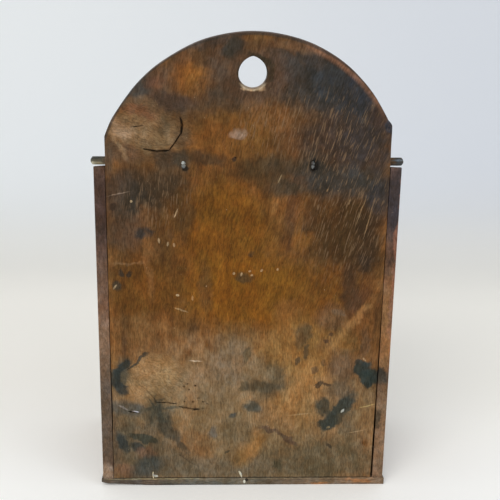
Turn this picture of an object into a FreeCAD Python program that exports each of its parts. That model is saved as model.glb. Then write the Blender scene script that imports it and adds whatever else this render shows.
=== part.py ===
import FreeCAD, Part
import os
import Sketcher

# Wall candle box: an arched backboard with a hanging hole between two side boards, a front board
# dovetailed to the sides, a base board nailed on from below, and a sloped lid on two snipe hinges.
# Millimetres. The origin is the centre of the base board's underside, +Z is up, -Y is the front
# and +Y the wall side. Left and right are those of someone who faces the front.

# ---- sizes ----------------------------------------------------------------------------------

DRIVING = (
    ("carcass_width", 281.6, "across the outer faces of the side boards"),
    ("carcass_depth", 150, "from the front board's face to the backboard's rear face"),
    ("side_rear_height", 322.2, "side board's rear edge, above the base board"),
    ("shoulder_rise", 27.1, "arch's lower end on the backboard's edge, above the side boards"),
    ("lid_slope", 13.4, "degrees that the lid and the side tops fall to the front"),
    ("side_thickness", 10.4, "side boards"),
    ("front_thickness", 10, "front board"),
    ("back_thickness", 11, "backboard"),
    ("base_thickness", 8, "base board"),
    ("lid_thickness", 7.7, "lid board"),
    ("board_arris", 0.9, "planed-off arrises of the backboard and sides, and of the other rear edges"),
    ("arch_spread", 11, "arch's radius past half the backboard's width"),
    ("arch_offset", -2.8, "arch's centre from the middle of the board"),
    ("shoulder_round", 4, "corner where the arch meets the straight edge"),
    ("hole_radius", 12.8, "bored hanging hole"),
    ("hole_drop", 37.5, "top of the arch to the centre of the bored hole"),
    ("hole_offset", -2.8, "hole's centre from the middle of the board"),
    ("worn_flank", 16.8, "radius of the flanks that the nail has worn upward from the bored hole"),
    ("worn_tip", 4.5, "radius of the worn part's top"),
    ("base_side_overhang", 1.5, "base board past each side board"),
    ("base_front_overhang", 3, "base board past the front board"),
    ("base_corner_round", 5, "base board's front corners, in plan"),
    ("base_upper_round", 2, "upper edge of the base board"),
    ("base_lower_round", 4.5, "lower edge of the base board"),
    ("lid_side_overhang", 3.7, "lid past each side board"),
    ("lid_front_overhang", 5.5, "lid past the front board"),
    ("lid_corner_round", 5, "lid's front corners, in plan"),
    ("lid_edge_flat", 0.1, "flat left in the middle of the lid's full-round edge"),
    ("lid_back_gap", 2, "lid's rear edge to the backboard, at mid-thickness"),
    ("lid_open_gap", 1.05, "top of the lid to the backboard when the lid stands upright"),
    ("lid_seat_height", 1.25, "front board's bevelled top above the side tops, square to the slope"),
    ("pin_count", 4, "whole dovetail pins at each front corner"),
    ("pin_width", 8, "dovetail pin at the front face"),
    ("half_pin_width", 7, "half pin at the top and bottom of the corner"),
    ("dovetail_angle", 9.5, "degrees that a tail's edge flares"),
    ("hinge_spacing", 118, "between the two hinges"),
    ("wire_diameter", 2, "hinge wire"),
    ("eye_radius", 3.2, "hinge eye, to the middle of the wire"),
    ("neck_radius", 2, "curve between the eye and the legs"),
    ("leg_gap", 0.2, "between the two legs of a hinge pin"),
    ("punch_width", 0.8, "punched slot between the two legs, as a share of the wire's diameter"),
    ("clench_radius", 1.6, "bend from a leg to its clenched tail"),
    ("back_tail", 2.4, "straight part of a tail on the backboard"),
    ("lid_tail", 4, "straight part of a tail on the lid"),
    ("back_tail_sink", 0.1, "tails on the backboard below its rear face"),
    ("lid_tail_stand", 0.2, "middle of the tails on the lid above its top face"),
    ("lid_pin_tilt", 9, "degrees that the lid's hinge pin rises from the lid's mid-plane"),
    ("notch_side_gap", 1.3, "lid's notch to the hinge eye, each side"),
    ("notch_end_gap", 0.4, "lid's notch to the neck of the hinge pin"),
    ("nail_width", 2.6, "square nail shank under the head"),
    ("nail_tip_width", 0.9, "square nail shank at the tip"),
    ("side_nail_length", 36, "nails through the sides into the backboard"),
    ("base_nail_length", 42, "nails up through the base board"),
    ("clasp_head_length", 7, "T-shaped head along the grain of the board it sinks into"),
    ("clasp_head_depth", 1.6, "T-shaped head sunk in the wood"),
    ("side_nail_margin", 32, "first and last side nail to the ends of the joint"),
    ("base_nail_spacing", 88, "between nails along the front and back"),
    ("back_nail_offset", 2.5, "middle nail of the back row from the middle of the board"),
    ("side_row_spacing", 45, "between nails along each side"),
    ("back_row_inset", 2.4, "back row of base nails to the rear face"),
)

DERIVED = (
    ("no_offset", "0"),
    ("rear", "(sizes.carcass_depth + sizes.base_front_overhang) / 2"),
    ("front", "rear - sizes.carcass_depth"),
    ("middle", "(rear + front) / 2"),
    ("front_inner", "front + sizes.front_thickness"),
    ("back_front", "rear - sizes.back_thickness"),
    ("half_width", "sizes.carcass_width / 2"),
    ("inner_half", "half_width - sizes.side_thickness"),
    ("inner_width", "2 * inner_half"),
    ("base_top", "sizes.base_thickness"),
    ("base_half", "half_width + sizes.base_side_overhang"),
    ("slope_rise", "tan(sizes.lid_slope)"),
    ("slope_stretch", "1 / cos(sizes.lid_slope)"),
    ("side_top_rear", "base_top + sizes.side_rear_height"),
    ("side_top_front", "side_top_rear - sizes.carcass_depth * slope_rise"),
    ("front_top", "side_top_front + sizes.lid_seat_height * slope_stretch"),
    ("front_top_inner", "front_top + sizes.front_thickness * slope_rise"),
    ("arch_radius", "inner_half + sizes.arch_spread"),
    ("arch_reach", "inner_half + abs(sizes.arch_offset)"),
    ("arch_centre", "side_top_rear + sizes.shoulder_rise - sqrt(arch_radius^2 - arch_reach^2)"),
    ("hole_centre", "arch_centre + arch_radius - sizes.hole_drop"),
    ("worn_reach", "sizes.worn_flank - sizes.worn_tip"),
    ("tip_rise", "sqrt(worn_reach^2 - (sizes.worn_flank - sizes.hole_radius)^2)"),
    ("tip_centre", "hole_centre + tip_rise"),
    ("tail_flare", "sizes.front_thickness * tan(sizes.dovetail_angle)"),
    ("pin_pitch", "(side_top_front - base_top) / (sizes.pin_count + 1)"),
    ("pins_length", "pin_pitch * (sizes.pin_count - 1)"),
    ("pin_middle", "base_top + pin_pitch"),
    ("pin_low", "pin_middle - sizes.pin_width / 2"),
    ("pin_high", "pin_middle + sizes.pin_width / 2"),
    ("pin_low_inner", "pin_low - tail_flare"),
    ("pin_high_inner", "pin_high + tail_flare"),
    ("bottom_pin_high", "base_top + sizes.half_pin_width"),
    ("bottom_pin_high_inner", "bottom_pin_high + tail_flare"),
    ("top_pin_low", "side_top_front - sizes.half_pin_width"),
    ("top_pin_low_inner", "top_pin_low - tail_flare"),
    ("axis_gap", "sizes.lid_thickness / 2 + sizes.lid_open_gap"),
    ("axis_y", "back_front - axis_gap"),
    ("lid_middle_lift", "(sizes.lid_seat_height + sizes.lid_thickness / 2) * slope_stretch"),
    ("axis_z", "side_top_rear - (rear - axis_y) * slope_rise + lid_middle_lift"),
    ("lid_half", "half_width + sizes.lid_side_overhang"),
    ("lid_rear", "(axis_gap - sizes.lid_back_gap) * slope_stretch"),
    ("lid_front", "(axis_y - front + sizes.lid_front_overhang) * slope_stretch"),
    ("lid_edge_round", "(sizes.lid_thickness - sizes.lid_edge_flat) / 2"),
    ("wire_radius", "sizes.wire_diameter / 2"),
    ("wire_facet", "wire_radius * tan(22.5)"),
    ("leg_offset", "(sizes.wire_diameter + sizes.leg_gap) / 2"),
    ("neck_reach", "sqrt((sizes.eye_radius + sizes.neck_radius)^2 - (leg_offset + sizes.neck_radius)^2)"),
    ("hinge_x", "sizes.hinge_spacing / 2"),
    ("notch_half", "sizes.eye_radius + wire_radius + sizes.notch_side_gap"),
    ("notch_inner", "hinge_x - notch_half"),
    ("notch_outer", "hinge_x + notch_half"),
    ("notch_end", "sizes.eye_radius + neck_reach + sizes.notch_end_gap"),
    ("notch_mouth", "lid_rear + sizes.board_arris"),
    ("back_tail_reach", "axis_gap + sizes.back_thickness - wire_radius - sizes.back_tail_sink"),
    ("back_leg_end", "back_tail_reach - sizes.clench_radius"),
    ("back_tail_end", "leg_offset + sizes.clench_radius + sizes.back_tail"),
    ("slot_width", "sizes.punch_width * sizes.wire_diameter"),
    ("lid_tail_rise", "sizes.lid_thickness / 2 + sizes.lid_tail_stand"),
    ("lid_tail_reach", "lid_tail_rise / sin(sizes.lid_pin_tilt) - sizes.eye_radius"),
    ("lid_leg_end", "lid_tail_reach - sizes.clench_radius"),
    ("lid_tail_end", "leg_offset + sizes.clench_radius + sizes.lid_tail"),
    ("lid_pin_slope", "sizes.lid_slope - sizes.lid_pin_tilt"),
    ("lid_eye_y", "axis_y - sizes.eye_radius * cos(lid_pin_slope)"),
    ("lid_eye_z", "axis_z - sizes.eye_radius * sin(lid_pin_slope)"),
    ("side_nail_y", "rear - sizes.back_thickness / 2"),
    ("side_nail_low", "base_top + sizes.side_nail_margin"),
    ("side_nail_run", "sizes.side_rear_height - 2 * sizes.side_nail_margin"),
    ("back_row_y", "rear - sizes.back_row_inset"),
    ("front_row_y", "front + sizes.front_thickness / 2"),
    ("side_row_x", "half_width - sizes.side_thickness / 2"),
)

SIDE_NAILS = 4
ROW_NAILS = 3
# A plane that lies along a sketch plane counts as flat within this.
FLAT = 0.01
START, END, CENTRE = 1, 2, 3
ORIGIN_POINT = (-1, 1)
UP_HEAD_ALONG_X = FreeCAD.Rotation(FreeCAD.Vector(1, 0, 0), 90)
UP_HEAD_ALONG_Y = FreeCAD.Rotation(FreeCAD.Vector(1, 1, 1), 120)
LEGS_TO_FRONT = FreeCAD.Rotation(FreeCAD.Vector(0, 0, 1), -90)
INTO_LEFT = FreeCAD.Rotation(FreeCAD.Vector(0, 0, 1), -90)
INTO_RIGHT = FreeCAD.Rotation(FreeCAD.Vector(0, 0, 1), 90)

doc = FreeCAD.newDocument("candle_box")
sizes = doc.addObject("Spreadsheet::Sheet", "sizes")
places = doc.addObject("Spreadsheet::Sheet", "places")
for row, (alias, number, note) in enumerate(DRIVING, start=1):
    sizes.set(f"A{row}", alias)
    sizes.set(f"B{row}", str(number))
    sizes.set(f"C{row}", note)
    sizes.setAlias(f"B{row}", alias)
for row, (alias, formula) in enumerate(DERIVED, start=1):
    places.set(f"A{row}", alias)
    places.set(f"B{row}", "=" + formula)
    places.setAlias(f"B{row}", alias)
doc.recompute()
DRIVING_NAMES = {alias for alias, number, note in DRIVING}


# ---- helpers --------------------------------------------------------------------------------

def cell(name):
    """Expression that reads a named cell; a minus sign before the name negates it."""
    plain = name.lstrip("-")
    sheet = "sizes" if plain in DRIVING_NAMES else "places"
    return f"{name[:-len(plain)]}{sheet}.{plain}"


def value(name):
    """Number in a named cell, negated in the same way."""
    plain = name.lstrip("-")
    sheet = sizes if plain in DRIVING_NAMES else places
    number = float(getattr(sheet, plain))
    return -number if name.startswith("-") else number


def point(first, second):
    return FreeCAD.Vector(value(first), value(second), 0)


def new_body(name, **base):
    """An empty body whose placement's base follows the named cells."""
    body = doc.addObject("PartDesign::Body", name)
    for direction, source in base.items():
        body.setExpression(f"Placement.Base.{direction}", cell(source))
    return body


def tilt_about_x(body, source):
    """Turn a body about X by the degrees in a named cell."""
    body.Placement.Rotation = FreeCAD.Rotation(FreeCAD.Vector(1, 0, 0), value(source))
    body.setExpression("Placement.Rotation.Angle", cell(source))


def origin_feature(body, role):
    return next(feature for feature in body.Origin.OriginFeatures if feature.Role == role)


def new_sketch(body, name, role):
    sketch = body.newObject("Sketcher::SketchObject", name)
    sketch.AttachmentSupport = [(origin_feature(body, role), "")]
    sketch.MapMode = "FlatFace"
    return sketch


def dimension(sketch, source, kind, *where):
    """Add one dimension that follows a named cell."""
    index = sketch.addConstraint(Sketcher.Constraint(kind, *where, value(source)))
    sketch.setExpression(f"Constraints[{index}]", cell(source))


def fix(sketch, edge, end, first, second):
    """Hold one end of an edge at two named coordinates of the sketch."""
    dimension(sketch, first, "DistanceX", *ORIGIN_POINT, edge, end)
    dimension(sketch, second, "DistanceY", *ORIGIN_POINT, edge, end)


def join(sketch, kind, edge, other):
    """Join two edges, with a coincident or tangent constraint, at the ends where they meet."""
    ends = ((mine, its) for mine in (START, END) for its in (START, END))
    mine, its = min(ends, key=lambda pair: (sketch.getPoint(edge, pair[0])
                                            - sketch.getPoint(other, pair[1])).Length)
    sketch.addConstraint(Sketcher.Constraint(kind, edge, mine, other, its))


def draw_polygon(sketch, corners):
    """Close a ring of straight lines through corners, each a pair of cell names."""
    first = sketch.GeometryCount
    count = len(corners)
    for index, corner in enumerate(corners):
        following = corners[(index + 1) % count]
        sketch.addGeometry(Part.LineSegment(point(*corner), point(*following)), False)
    for index, corner in enumerate(corners):
        join(sketch, "Coincident", first + index, first + (index + 1) % count)
        fix(sketch, first + index, START, *corner)


def add_pad(body, name, sketch, source, symmetric=False):
    pad = body.newObject("PartDesign::Pad", name)
    pad.Profile = sketch
    pad.SideType = "Symmetric" if symmetric else "One side"
    pad.setExpression("Length", cell(source))
    return pad


def add_through_pocket(body, name, sketch):
    pocket = body.newObject("PartDesign::Pocket", name)
    pocket.Profile = sketch
    pocket.SideType = "Symmetric"
    pocket.Type = "ThroughAll"
    return pocket


def dress_edges(body, kind, name, source, chosen):
    """Fillet or chamfer the edges of the body's latest feature that the chosen test accepts."""
    doc.recompute()
    base = body.Tip
    edges = [f"Edge{index}" for index, edge in enumerate(base.Shape.Edges, start=1) if chosen(edge.BoundBox)]
    feature = body.newObject(f"PartDesign::{kind}", name)
    feature.Base = (base, edges)
    feature.setExpression("Radius" if kind == "Fillet" else "Size", cell(source))


def repeat_pins(body, feature):
    """Repeat one dovetail pin or its socket up the corner."""
    pattern = body.newObject("PartDesign::LinearPattern", f"{feature.Name}_row")
    pattern.Originals = [feature]
    pattern.Direction = (origin_feature(body, "Z_Axis"), [""])
    pattern.setExpression("Length", cell("pins_length"))
    pattern.setExpression("Occurrences", cell("pin_count"))
    body.Tip = pattern


# ---- boards ---------------------------------------------------------------------------------

def draw_whole_pin(sketch):
    """Lowest whole pin seen from the side: narrow at the front face, wide inside."""
    draw_polygon(sketch, (("front", "pin_low"), ("front_inner", "pin_low_inner"),
                          ("front_inner", "pin_high_inner"), ("front", "pin_high")))


def draw_half_pins(sketch):
    """Bottom and top half pins; the top one runs up to the front board's bevelled top."""
    draw_polygon(sketch, (("front", "base_top"), ("front_inner", "base_top"),
                          ("front_inner", "bottom_pin_high_inner"), ("front", "bottom_pin_high")))
    draw_polygon(sketch, (("front", "top_pin_low"), ("front_inner", "top_pin_low_inner"),
                          ("front_inner", "front_top_inner"), ("front", "front_top")))


def make_backboard():
    body = new_body("backboard_blank", y="rear")
    outline = new_sketch(body, "backboard_outline", "XZ_Plane")
    centre = point("arch_offset", "arch_centre")
    radius = value("arch_radius")
    half = value("inner_half")
    shoulders = []
    for side in (half, -half):
        across = side - centre.x
        shoulders.append(FreeCAD.Vector(side, centre.y + (radius ** 2 - across ** 2) ** 0.5, 0))
    right, left = shoulders
    crown = centre + FreeCAD.Vector(0, radius, 0)
    bottom_left = point("-inner_half", "base_top")
    bottom_right = point("inner_half", "base_top")
    outline.addGeometry(Part.LineSegment(bottom_left, bottom_right), False)
    outline.addGeometry(Part.LineSegment(bottom_right, right), False)
    outline.addGeometry(Part.Arc(right, crown, left), False)
    outline.addGeometry(Part.LineSegment(left, bottom_left), False)
    bottom, right_edge, arch, left_edge = range(4)
    fix(outline, bottom, START, "-inner_half", "base_top")
    fix(outline, bottom, END, "inner_half", "base_top")
    fix(outline, arch, CENTRE, "arch_offset", "arch_centre")
    dimension(outline, "arch_radius", "Radius", arch)
    for edge, other in ((bottom, right_edge), (right_edge, arch), (arch, left_edge), (left_edge, bottom)):
        join(outline, "Coincident", edge, other)
    for edge in (right_edge, left_edge):
        outline.addConstraint(Sketcher.Constraint("Vertical", edge))
    add_pad(body, "backboard_plank", outline, "back_thickness")
    lid_line = value("side_top_rear")
    dress_edges(body, "Fillet", "backboard_shoulders", "shoulder_round",
                lambda box: box.YLength > FLAT and box.ZMin > lid_line)
    dress_edges(body, "Chamfer", "backboard_arrises", "board_arris",
                lambda box: box.YLength < FLAT and box.ZMax > lid_line)
    add_through_pocket(body, "hanging_hole", draw_hanging_hole(body))
    return body


def draw_hanging_hole(body):
    """A bored hole that a nail has worn upward: the bore's lower half, two flanks and a small tip."""
    sketch = new_sketch(body, "hanging_hole_outline", "XZ_Plane")
    bored, tip = point("hole_offset", "hole_centre"), point("hole_offset", "tip_centre")
    bore, flank, tip_radius = value("hole_radius"), value("worn_flank"), value("worn_tip")
    across, up = FreeCAD.Vector(1, 0, 0), FreeCAD.Vector(0, 1, 0)

    def flank_points(outward):
        """Foot, middle and top of the flank on one side."""
        centre = bored - outward * (flank - bore)
        lean = (tip - centre).normalize()
        middle = (outward + lean).normalize()
        return bored + outward * bore, centre + middle * flank, centre + lean * flank

    right, left = flank_points(across), flank_points(-across)
    sketch.addGeometry(Part.Arc(left[0], bored - up * bore, right[0]), False)
    sketch.addGeometry(Part.Arc(*right), False)
    sketch.addGeometry(Part.Arc(right[2], tip + up * tip_radius, left[2]), False)
    sketch.addGeometry(Part.Arc(*left[::-1]), False)
    lower, right_flank, upper, left_flank = range(4)
    for edge, other in ((lower, right_flank), (right_flank, upper), (upper, left_flank), (left_flank, lower)):
        join(sketch, "Tangent", edge, other)
    fix(sketch, lower, CENTRE, "hole_offset", "hole_centre")
    fix(sketch, upper, CENTRE, "hole_offset", "tip_centre")
    dimension(sketch, "hole_radius", "Radius", lower)
    dimension(sketch, "worn_flank", "Radius", right_flank)
    dimension(sketch, "worn_flank", "Radius", left_flank)
    dimension(sketch, "worn_tip", "Radius", upper)
    return sketch


def make_side(name, start, outer_face):
    """Side board with the tails at its front end; the sockets take the front board's pins.

    start is the cell of its first X, and outer_face that of its outer face from there.
    """
    body = new_body(f"{name}_blank", x=start)
    outline = new_sketch(body, f"{name}_outline", "YZ_Plane")
    draw_polygon(outline, (("front", "base_top"), ("rear", "base_top"),
                           ("rear", "side_top_rear"), ("front", "side_top_front")))
    add_pad(body, f"{name}_plank", outline, "side_thickness")
    front, outer = value("front"), value(outer_face)

    def is_worn_arris(box):
        top = box.ZLength > FLAT and box.YLength > FLAT
        rear_outer = box.YMin > front + FLAT and box.ZLength > FLAT and abs(box.XMin - outer) < FLAT
        return box.XLength < FLAT and (top or rear_outer)

    dress_edges(body, "Chamfer", f"{name}_arrises", "board_arris", is_worn_arris)
    half_pins = new_sketch(body, f"{name}_half_socket_outline", "YZ_Plane")
    draw_half_pins(half_pins)
    add_through_pocket(body, f"{name}_half_sockets", half_pins)
    whole_pin = new_sketch(body, f"{name}_socket_outline", "YZ_Plane")
    draw_whole_pin(whole_pin)
    repeat_pins(body, add_through_pocket(body, f"{name}_socket", whole_pin))
    return body


def make_front_board():
    """Front board between the sides, with pins that run through them; its top is bevelled."""
    body = new_body("front_board_blank")
    section = new_sketch(body, "front_board_section", "YZ_Plane")
    draw_polygon(section, (("front", "base_top"), ("front_inner", "base_top"),
                           ("front_inner", "front_top_inner"), ("front", "front_top")))
    add_pad(body, "front_board_plank", section, "inner_width", symmetric=True)
    half_pins = new_sketch(body, "front_half_pin_outline", "YZ_Plane")
    draw_half_pins(half_pins)
    add_pad(body, "front_half_pins", half_pins, "carcass_width", symmetric=True)
    whole_pin = new_sketch(body, "front_pin_outline", "YZ_Plane")
    draw_whole_pin(whole_pin)
    repeat_pins(body, add_pad(body, "front_pin", whole_pin, "carcass_width", symmetric=True))
    return body


def make_base_board():
    """Base board with rounded front and side edges; its rear edge is flush with the backboard."""
    body = new_body("base_board_blank")
    outline = new_sketch(body, "base_board_outline", "XY_Plane")
    draw_polygon(outline, (("-base_half", "-rear"), ("base_half", "-rear"),
                           ("base_half", "rear"), ("-base_half", "rear")))
    add_pad(body, "base_board_plank", outline, "base_thickness")
    rear, top = value("rear"), value("base_top")
    dress_edges(body, "Fillet", "base_board_corners", "base_corner_round",
                lambda box: box.ZLength > FLAT and box.YMax < -rear + FLAT)
    dress_edges(body, "Fillet", "base_board_upper_edges", "base_upper_round",
                lambda box: box.ZMin > top - FLAT and box.YMin < rear - FLAT)
    dress_edges(body, "Fillet", "base_board_lower_edges", "base_lower_round",
                lambda box: box.ZMax < FLAT and box.YMin < rear - FLAT)
    dress_edges(body, "Chamfer", "base_board_rear_arrises", "board_arris",
                lambda box: box.YMin > rear - FLAT)
    return body


def make_lid():
    """Lid in its own frame: the hinge axis is the local X axis and the front is at local -Y."""
    body = new_body("lid_blank", y="axis_y", z="axis_z")
    tilt_about_x(body, "lid_slope")
    outline = new_sketch(body, "lid_outline", "XY_Plane")
    draw_polygon(outline, (("-lid_half", "-lid_front"), ("lid_half", "-lid_front"),
                           ("lid_half", "lid_rear"), ("-lid_half", "lid_rear")))
    add_pad(body, "lid_plank", outline, "lid_thickness", symmetric=True)
    front, rear = -value("lid_front"), value("lid_rear")
    dress_edges(body, "Fillet", "lid_corners", "lid_corner_round",
                lambda box: box.ZLength > FLAT and box.YMax < front + FLAT)
    dress_edges(body, "Fillet", "lid_full_round_edges", "lid_edge_round",
                lambda box: box.ZLength < FLAT and box.YMin < rear - FLAT)
    dress_edges(body, "Chamfer", "lid_rear_arrises", "board_arris",
                lambda box: box.YMin > rear - FLAT)
    notches = new_sketch(body, "lid_notch_outline", "XY_Plane")
    for near, far in (("-notch_outer", "-notch_inner"), ("notch_inner", "notch_outer")):
        draw_polygon(notches, ((near, "-notch_end"), (far, "-notch_end"),
                               (far, "notch_mouth"), (near, "notch_mouth")))
    add_through_pocket(body, "lid_notches", notches)
    return body


# ---- snipe hinges ---------------------------------------------------------------------------

def at(along, across):
    return FreeCAD.Vector(along, across, 0)


def half_path(reach, tail, sign):
    """Corner points of one half of a bent wire, from its tail's end to its eye.

    Each group is a line of two points or an arc of three.
    """
    leg, bend = value("leg_offset"), value("clench_radius")
    eye, neck, neck_x = value("eye_radius"), value("neck_radius"), value("neck_reach")
    lag = bend * (1 - 0.5 ** 0.5)
    share = eye / (eye + neck)
    tail_end = at(reach, sign * (leg + bend + tail))
    tail_start = at(reach, sign * (leg + bend))
    clench = at(reach - lag, sign * (leg + lag))
    leg_end, leg_start = at(reach - bend, sign * leg), at(neck_x, sign * leg)
    neck_centre = at(neck_x, sign * (leg + neck))
    neck_end = neck_centre * share
    inward = (leg_start + neck_end) / 2 - neck_centre
    neck_middle = neck_centre + inward * (neck / inward.Length)
    return [(tail_end, tail_start), (tail_start, clench, leg_end), (leg_end, leg_start),
            (leg_start, neck_middle, neck_end)]


def draw_pin_path(sketch, reach, tail):
    """Middle line of a hinge pin: tail, clench, leg, neck and eye, then back along the other leg.

    The eye's centre is the sketch's origin and the legs run along the sketch's +X.
    """
    upper = half_path(value(reach), value(tail), 1)
    lower = [points[::-1] for points in half_path(value(reach), value(tail), -1)[::-1]]
    eye_front = at(-value("eye_radius"), 0)
    for points in (*upper, (upper[-1][-1], eye_front, lower[0][0]), *lower):
        shape = Part.Arc(*points) if len(points) == 3 else Part.LineSegment(*points)
        sketch.addGeometry(shape, False)
    for edge in range(sketch.GeometryCount - 1):
        join(sketch, "Tangent", edge, edge + 1)
    upper_tail, upper_clench, upper_leg, upper_neck, eye, lower_neck, lower_leg, lower_clench, \
        lower_tail = range(sketch.GeometryCount)
    sketch.addConstraint(Sketcher.Constraint("Coincident", eye, CENTRE, *ORIGIN_POINT))
    dimension(sketch, "eye_radius", "Radius", eye)
    for edges, offset in (((upper_tail, upper_clench, upper_leg, upper_neck), "leg_offset"),
                          ((lower_tail, lower_clench, lower_leg, lower_neck), "-leg_offset")):
        tail_line, clench, leg, neck = edges
        sketch.addConstraint(Sketcher.Constraint("Vertical", tail_line))
        sketch.addConstraint(Sketcher.Constraint("Horizontal", leg))
        dimension(sketch, reach, "DistanceX", *ORIGIN_POINT, tail_line, START)
        dimension(sketch, tail, "Distance", tail_line)
        dimension(sketch, offset, "DistanceY", *ORIGIN_POINT, leg, START)
        dimension(sketch, "clench_radius", "Radius", clench)
        dimension(sketch, "neck_radius", "Radius", neck)


def make_back_pin(name, across):
    """Pin through the backboard: its eye stands upright and its tails are clenched up and down."""
    pin = new_body(name, x=across, y="axis_y", z="axis_z")
    path = new_sketch(pin, f"{name}_path", "YZ_Plane")
    draw_pin_path(path, "back_tail_reach", "back_tail")
    section = new_sketch(pin, f"{name}_section", "XY_Plane")
    section.setExpression("AttachmentOffset.Base.z", cell("back_tail_end"))
    section.setExpression("AttachmentOffset.Base.y", cell("back_tail_reach"))
    sweep_wire(pin, path, section)
    slot = make_slot(pin, "YZ_Plane", (("neck_reach", "-leg_offset"), ("back_leg_end", "-leg_offset"),
                                       ("back_leg_end", "leg_offset"), ("neck_reach", "leg_offset")))
    return pin, slot


def make_lid_pin(name, across):
    """Pin through the lid's rear edge: its eye lies flat in the back pin's eye, its legs rise
    through the wood and its tails are clenched left and right on top of the lid."""
    pin = new_body(name, x=across, y="lid_eye_y", z="lid_eye_z")
    tilt_about_x(pin, "lid_pin_slope")
    path = new_sketch(pin, f"{name}_path", "XY_Plane")
    path.AttachmentOffset = FreeCAD.Placement(FreeCAD.Vector(), LEGS_TO_FRONT)
    draw_pin_path(path, "lid_tail_reach", "lid_tail")
    section = new_sketch(pin, f"{name}_section", "YZ_Plane")
    section.setExpression("AttachmentOffset.Base.z", cell("lid_tail_end"))
    section.setExpression("AttachmentOffset.Base.x", cell("-lid_tail_reach"))
    sweep_wire(pin, path, section)
    slot = make_slot(pin, "XY_Plane", (("-leg_offset", "-lid_leg_end"), ("leg_offset", "-lid_leg_end"),
                                       ("leg_offset", "-neck_reach"), ("-leg_offset", "-neck_reach")))
    return pin, slot


def make_slot(pin, role, corners):
    """The slot punched between a pin's two legs, so that no web of wood is left there."""
    slot = doc.addObject("PartDesign::Body", f"{pin.Name}_slot")
    slot.setExpression("Placement", f"{pin.Name}.Placement")
    outline = new_sketch(slot, f"{pin.Name}_slot_outline", role)
    draw_polygon(outline, corners)
    add_pad(slot, f"{pin.Name}_slot_width", outline, "slot_width", symmetric=True)
    return slot


def sweep_wire(body, path, section):
    """Sweep the hammered eight-sided wire along its path, from the end of the first tail."""
    quarter = (("wire_radius", "wire_facet"), ("wire_facet", "wire_radius"))
    half = quarter + tuple(("-" + across, up) for across, up in quarter[::-1])
    draw_polygon(section, half + tuple((across, "-" + up) for across, up in half[::-1]))
    doc.recompute()
    wire = body.newObject("PartDesign::AdditivePipe", f"{body.Name}_wire")
    wire.Profile = section
    wire.Spine = (path, [f"Edge{index}" for index in range(1, path.GeometryCount + 1)])
    wire.Transition = "Transformed"
    wire.Mode = "Standard"


# ---- nails ----------------------------------------------------------------------------------

def make_taper(name, start, length, first, last):
    """Four-sided taper along local Y, centred on it.

    start is the cell of its first Y, length the cell of its run, and first and last the cells of
    its two widths, X then Z, at each end.
    """
    wedge = doc.addObject("Part::Wedge", name)
    wedge.setExpression("Ymin", cell(start))
    wedge.setExpression("Ymax", f"{cell(start)} + {cell(length)}")
    for prefix, widths in (("", first), ("2", last)):
        for letter, width in zip("XZ", widths):
            wedge.setExpression(f"{letter}{prefix}min", f"-{cell(width)} / 2")
            wedge.setExpression(f"{letter}{prefix}max", f"{cell(width)} / 2")
    return wedge


def make_nail(name, length, head):
    """Wrought nail whose point runs along local +Y from the face of the wood."""
    square = ("nail_width", "nail_width")
    tip = ("nail_tip_width", "nail_tip_width")
    shank = make_taper(f"{name}_shank", "no_offset", length, square, tip)
    nail = doc.addObject("Part::MultiFuse", name)
    nail.Shapes = [shank, head]
    return nail


def nail_group(name, nail, turn, spots):
    """Copies of one nail, each at a spot that gives an expression for X, Y and Z."""
    copies = []
    for number, spot in enumerate(spots, start=1):
        copy = doc.addObject("App::Link", f"{name}_{number}")
        copy.LinkedObject = nail
        copy.Placement = FreeCAD.Placement(FreeCAD.Vector(), turn)
        for direction, expression in zip("xyz", spot):
            copy.setExpression(f"Placement.Base.{direction}", expression)
        copies.append(copy)
    group = doc.addObject("Part::Compound", name)
    group.Links = copies
    return group


def row_of_nails(name, nail, turn, along, centre, spacing, across):
    """Nails up through the base in a row along X or Y."""
    spots = []
    for step in range(ROW_NAILS):
        run = f"{cell(centre)} + {step - (ROW_NAILS - 1) / 2} * {cell(spacing)}"
        spots.append((run, cell(across), "0") if along == "x" else (cell(across), run, "0"))
    return nail_group(name, nail, turn, spots)


def column_of_nails(name, nail, turn, across):
    """Nails through a side board into the backboard's edge."""
    spots = []
    for step in range(SIDE_NAILS):
        height = f"{cell('side_nail_low')} + {step} / {SIDE_NAILS - 1} * {cell('side_nail_run')}"
        spots.append((cell(across), cell("side_nail_y"), height))
    return nail_group(name, nail, turn, spots)


# ---- the box --------------------------------------------------------------------------------

def fit(name, blank, fasteners):
    """A board with the holes that its nails and hinge pins fill."""
    doc.recompute()
    tools = doc.addObject("Part::MultiFuse", f"{name}_fasteners")
    tools.Shapes = fasteners
    board = doc.addObject("Part::Cut", name)
    board.Base = blank
    board.Tool = tools
    return board


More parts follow.
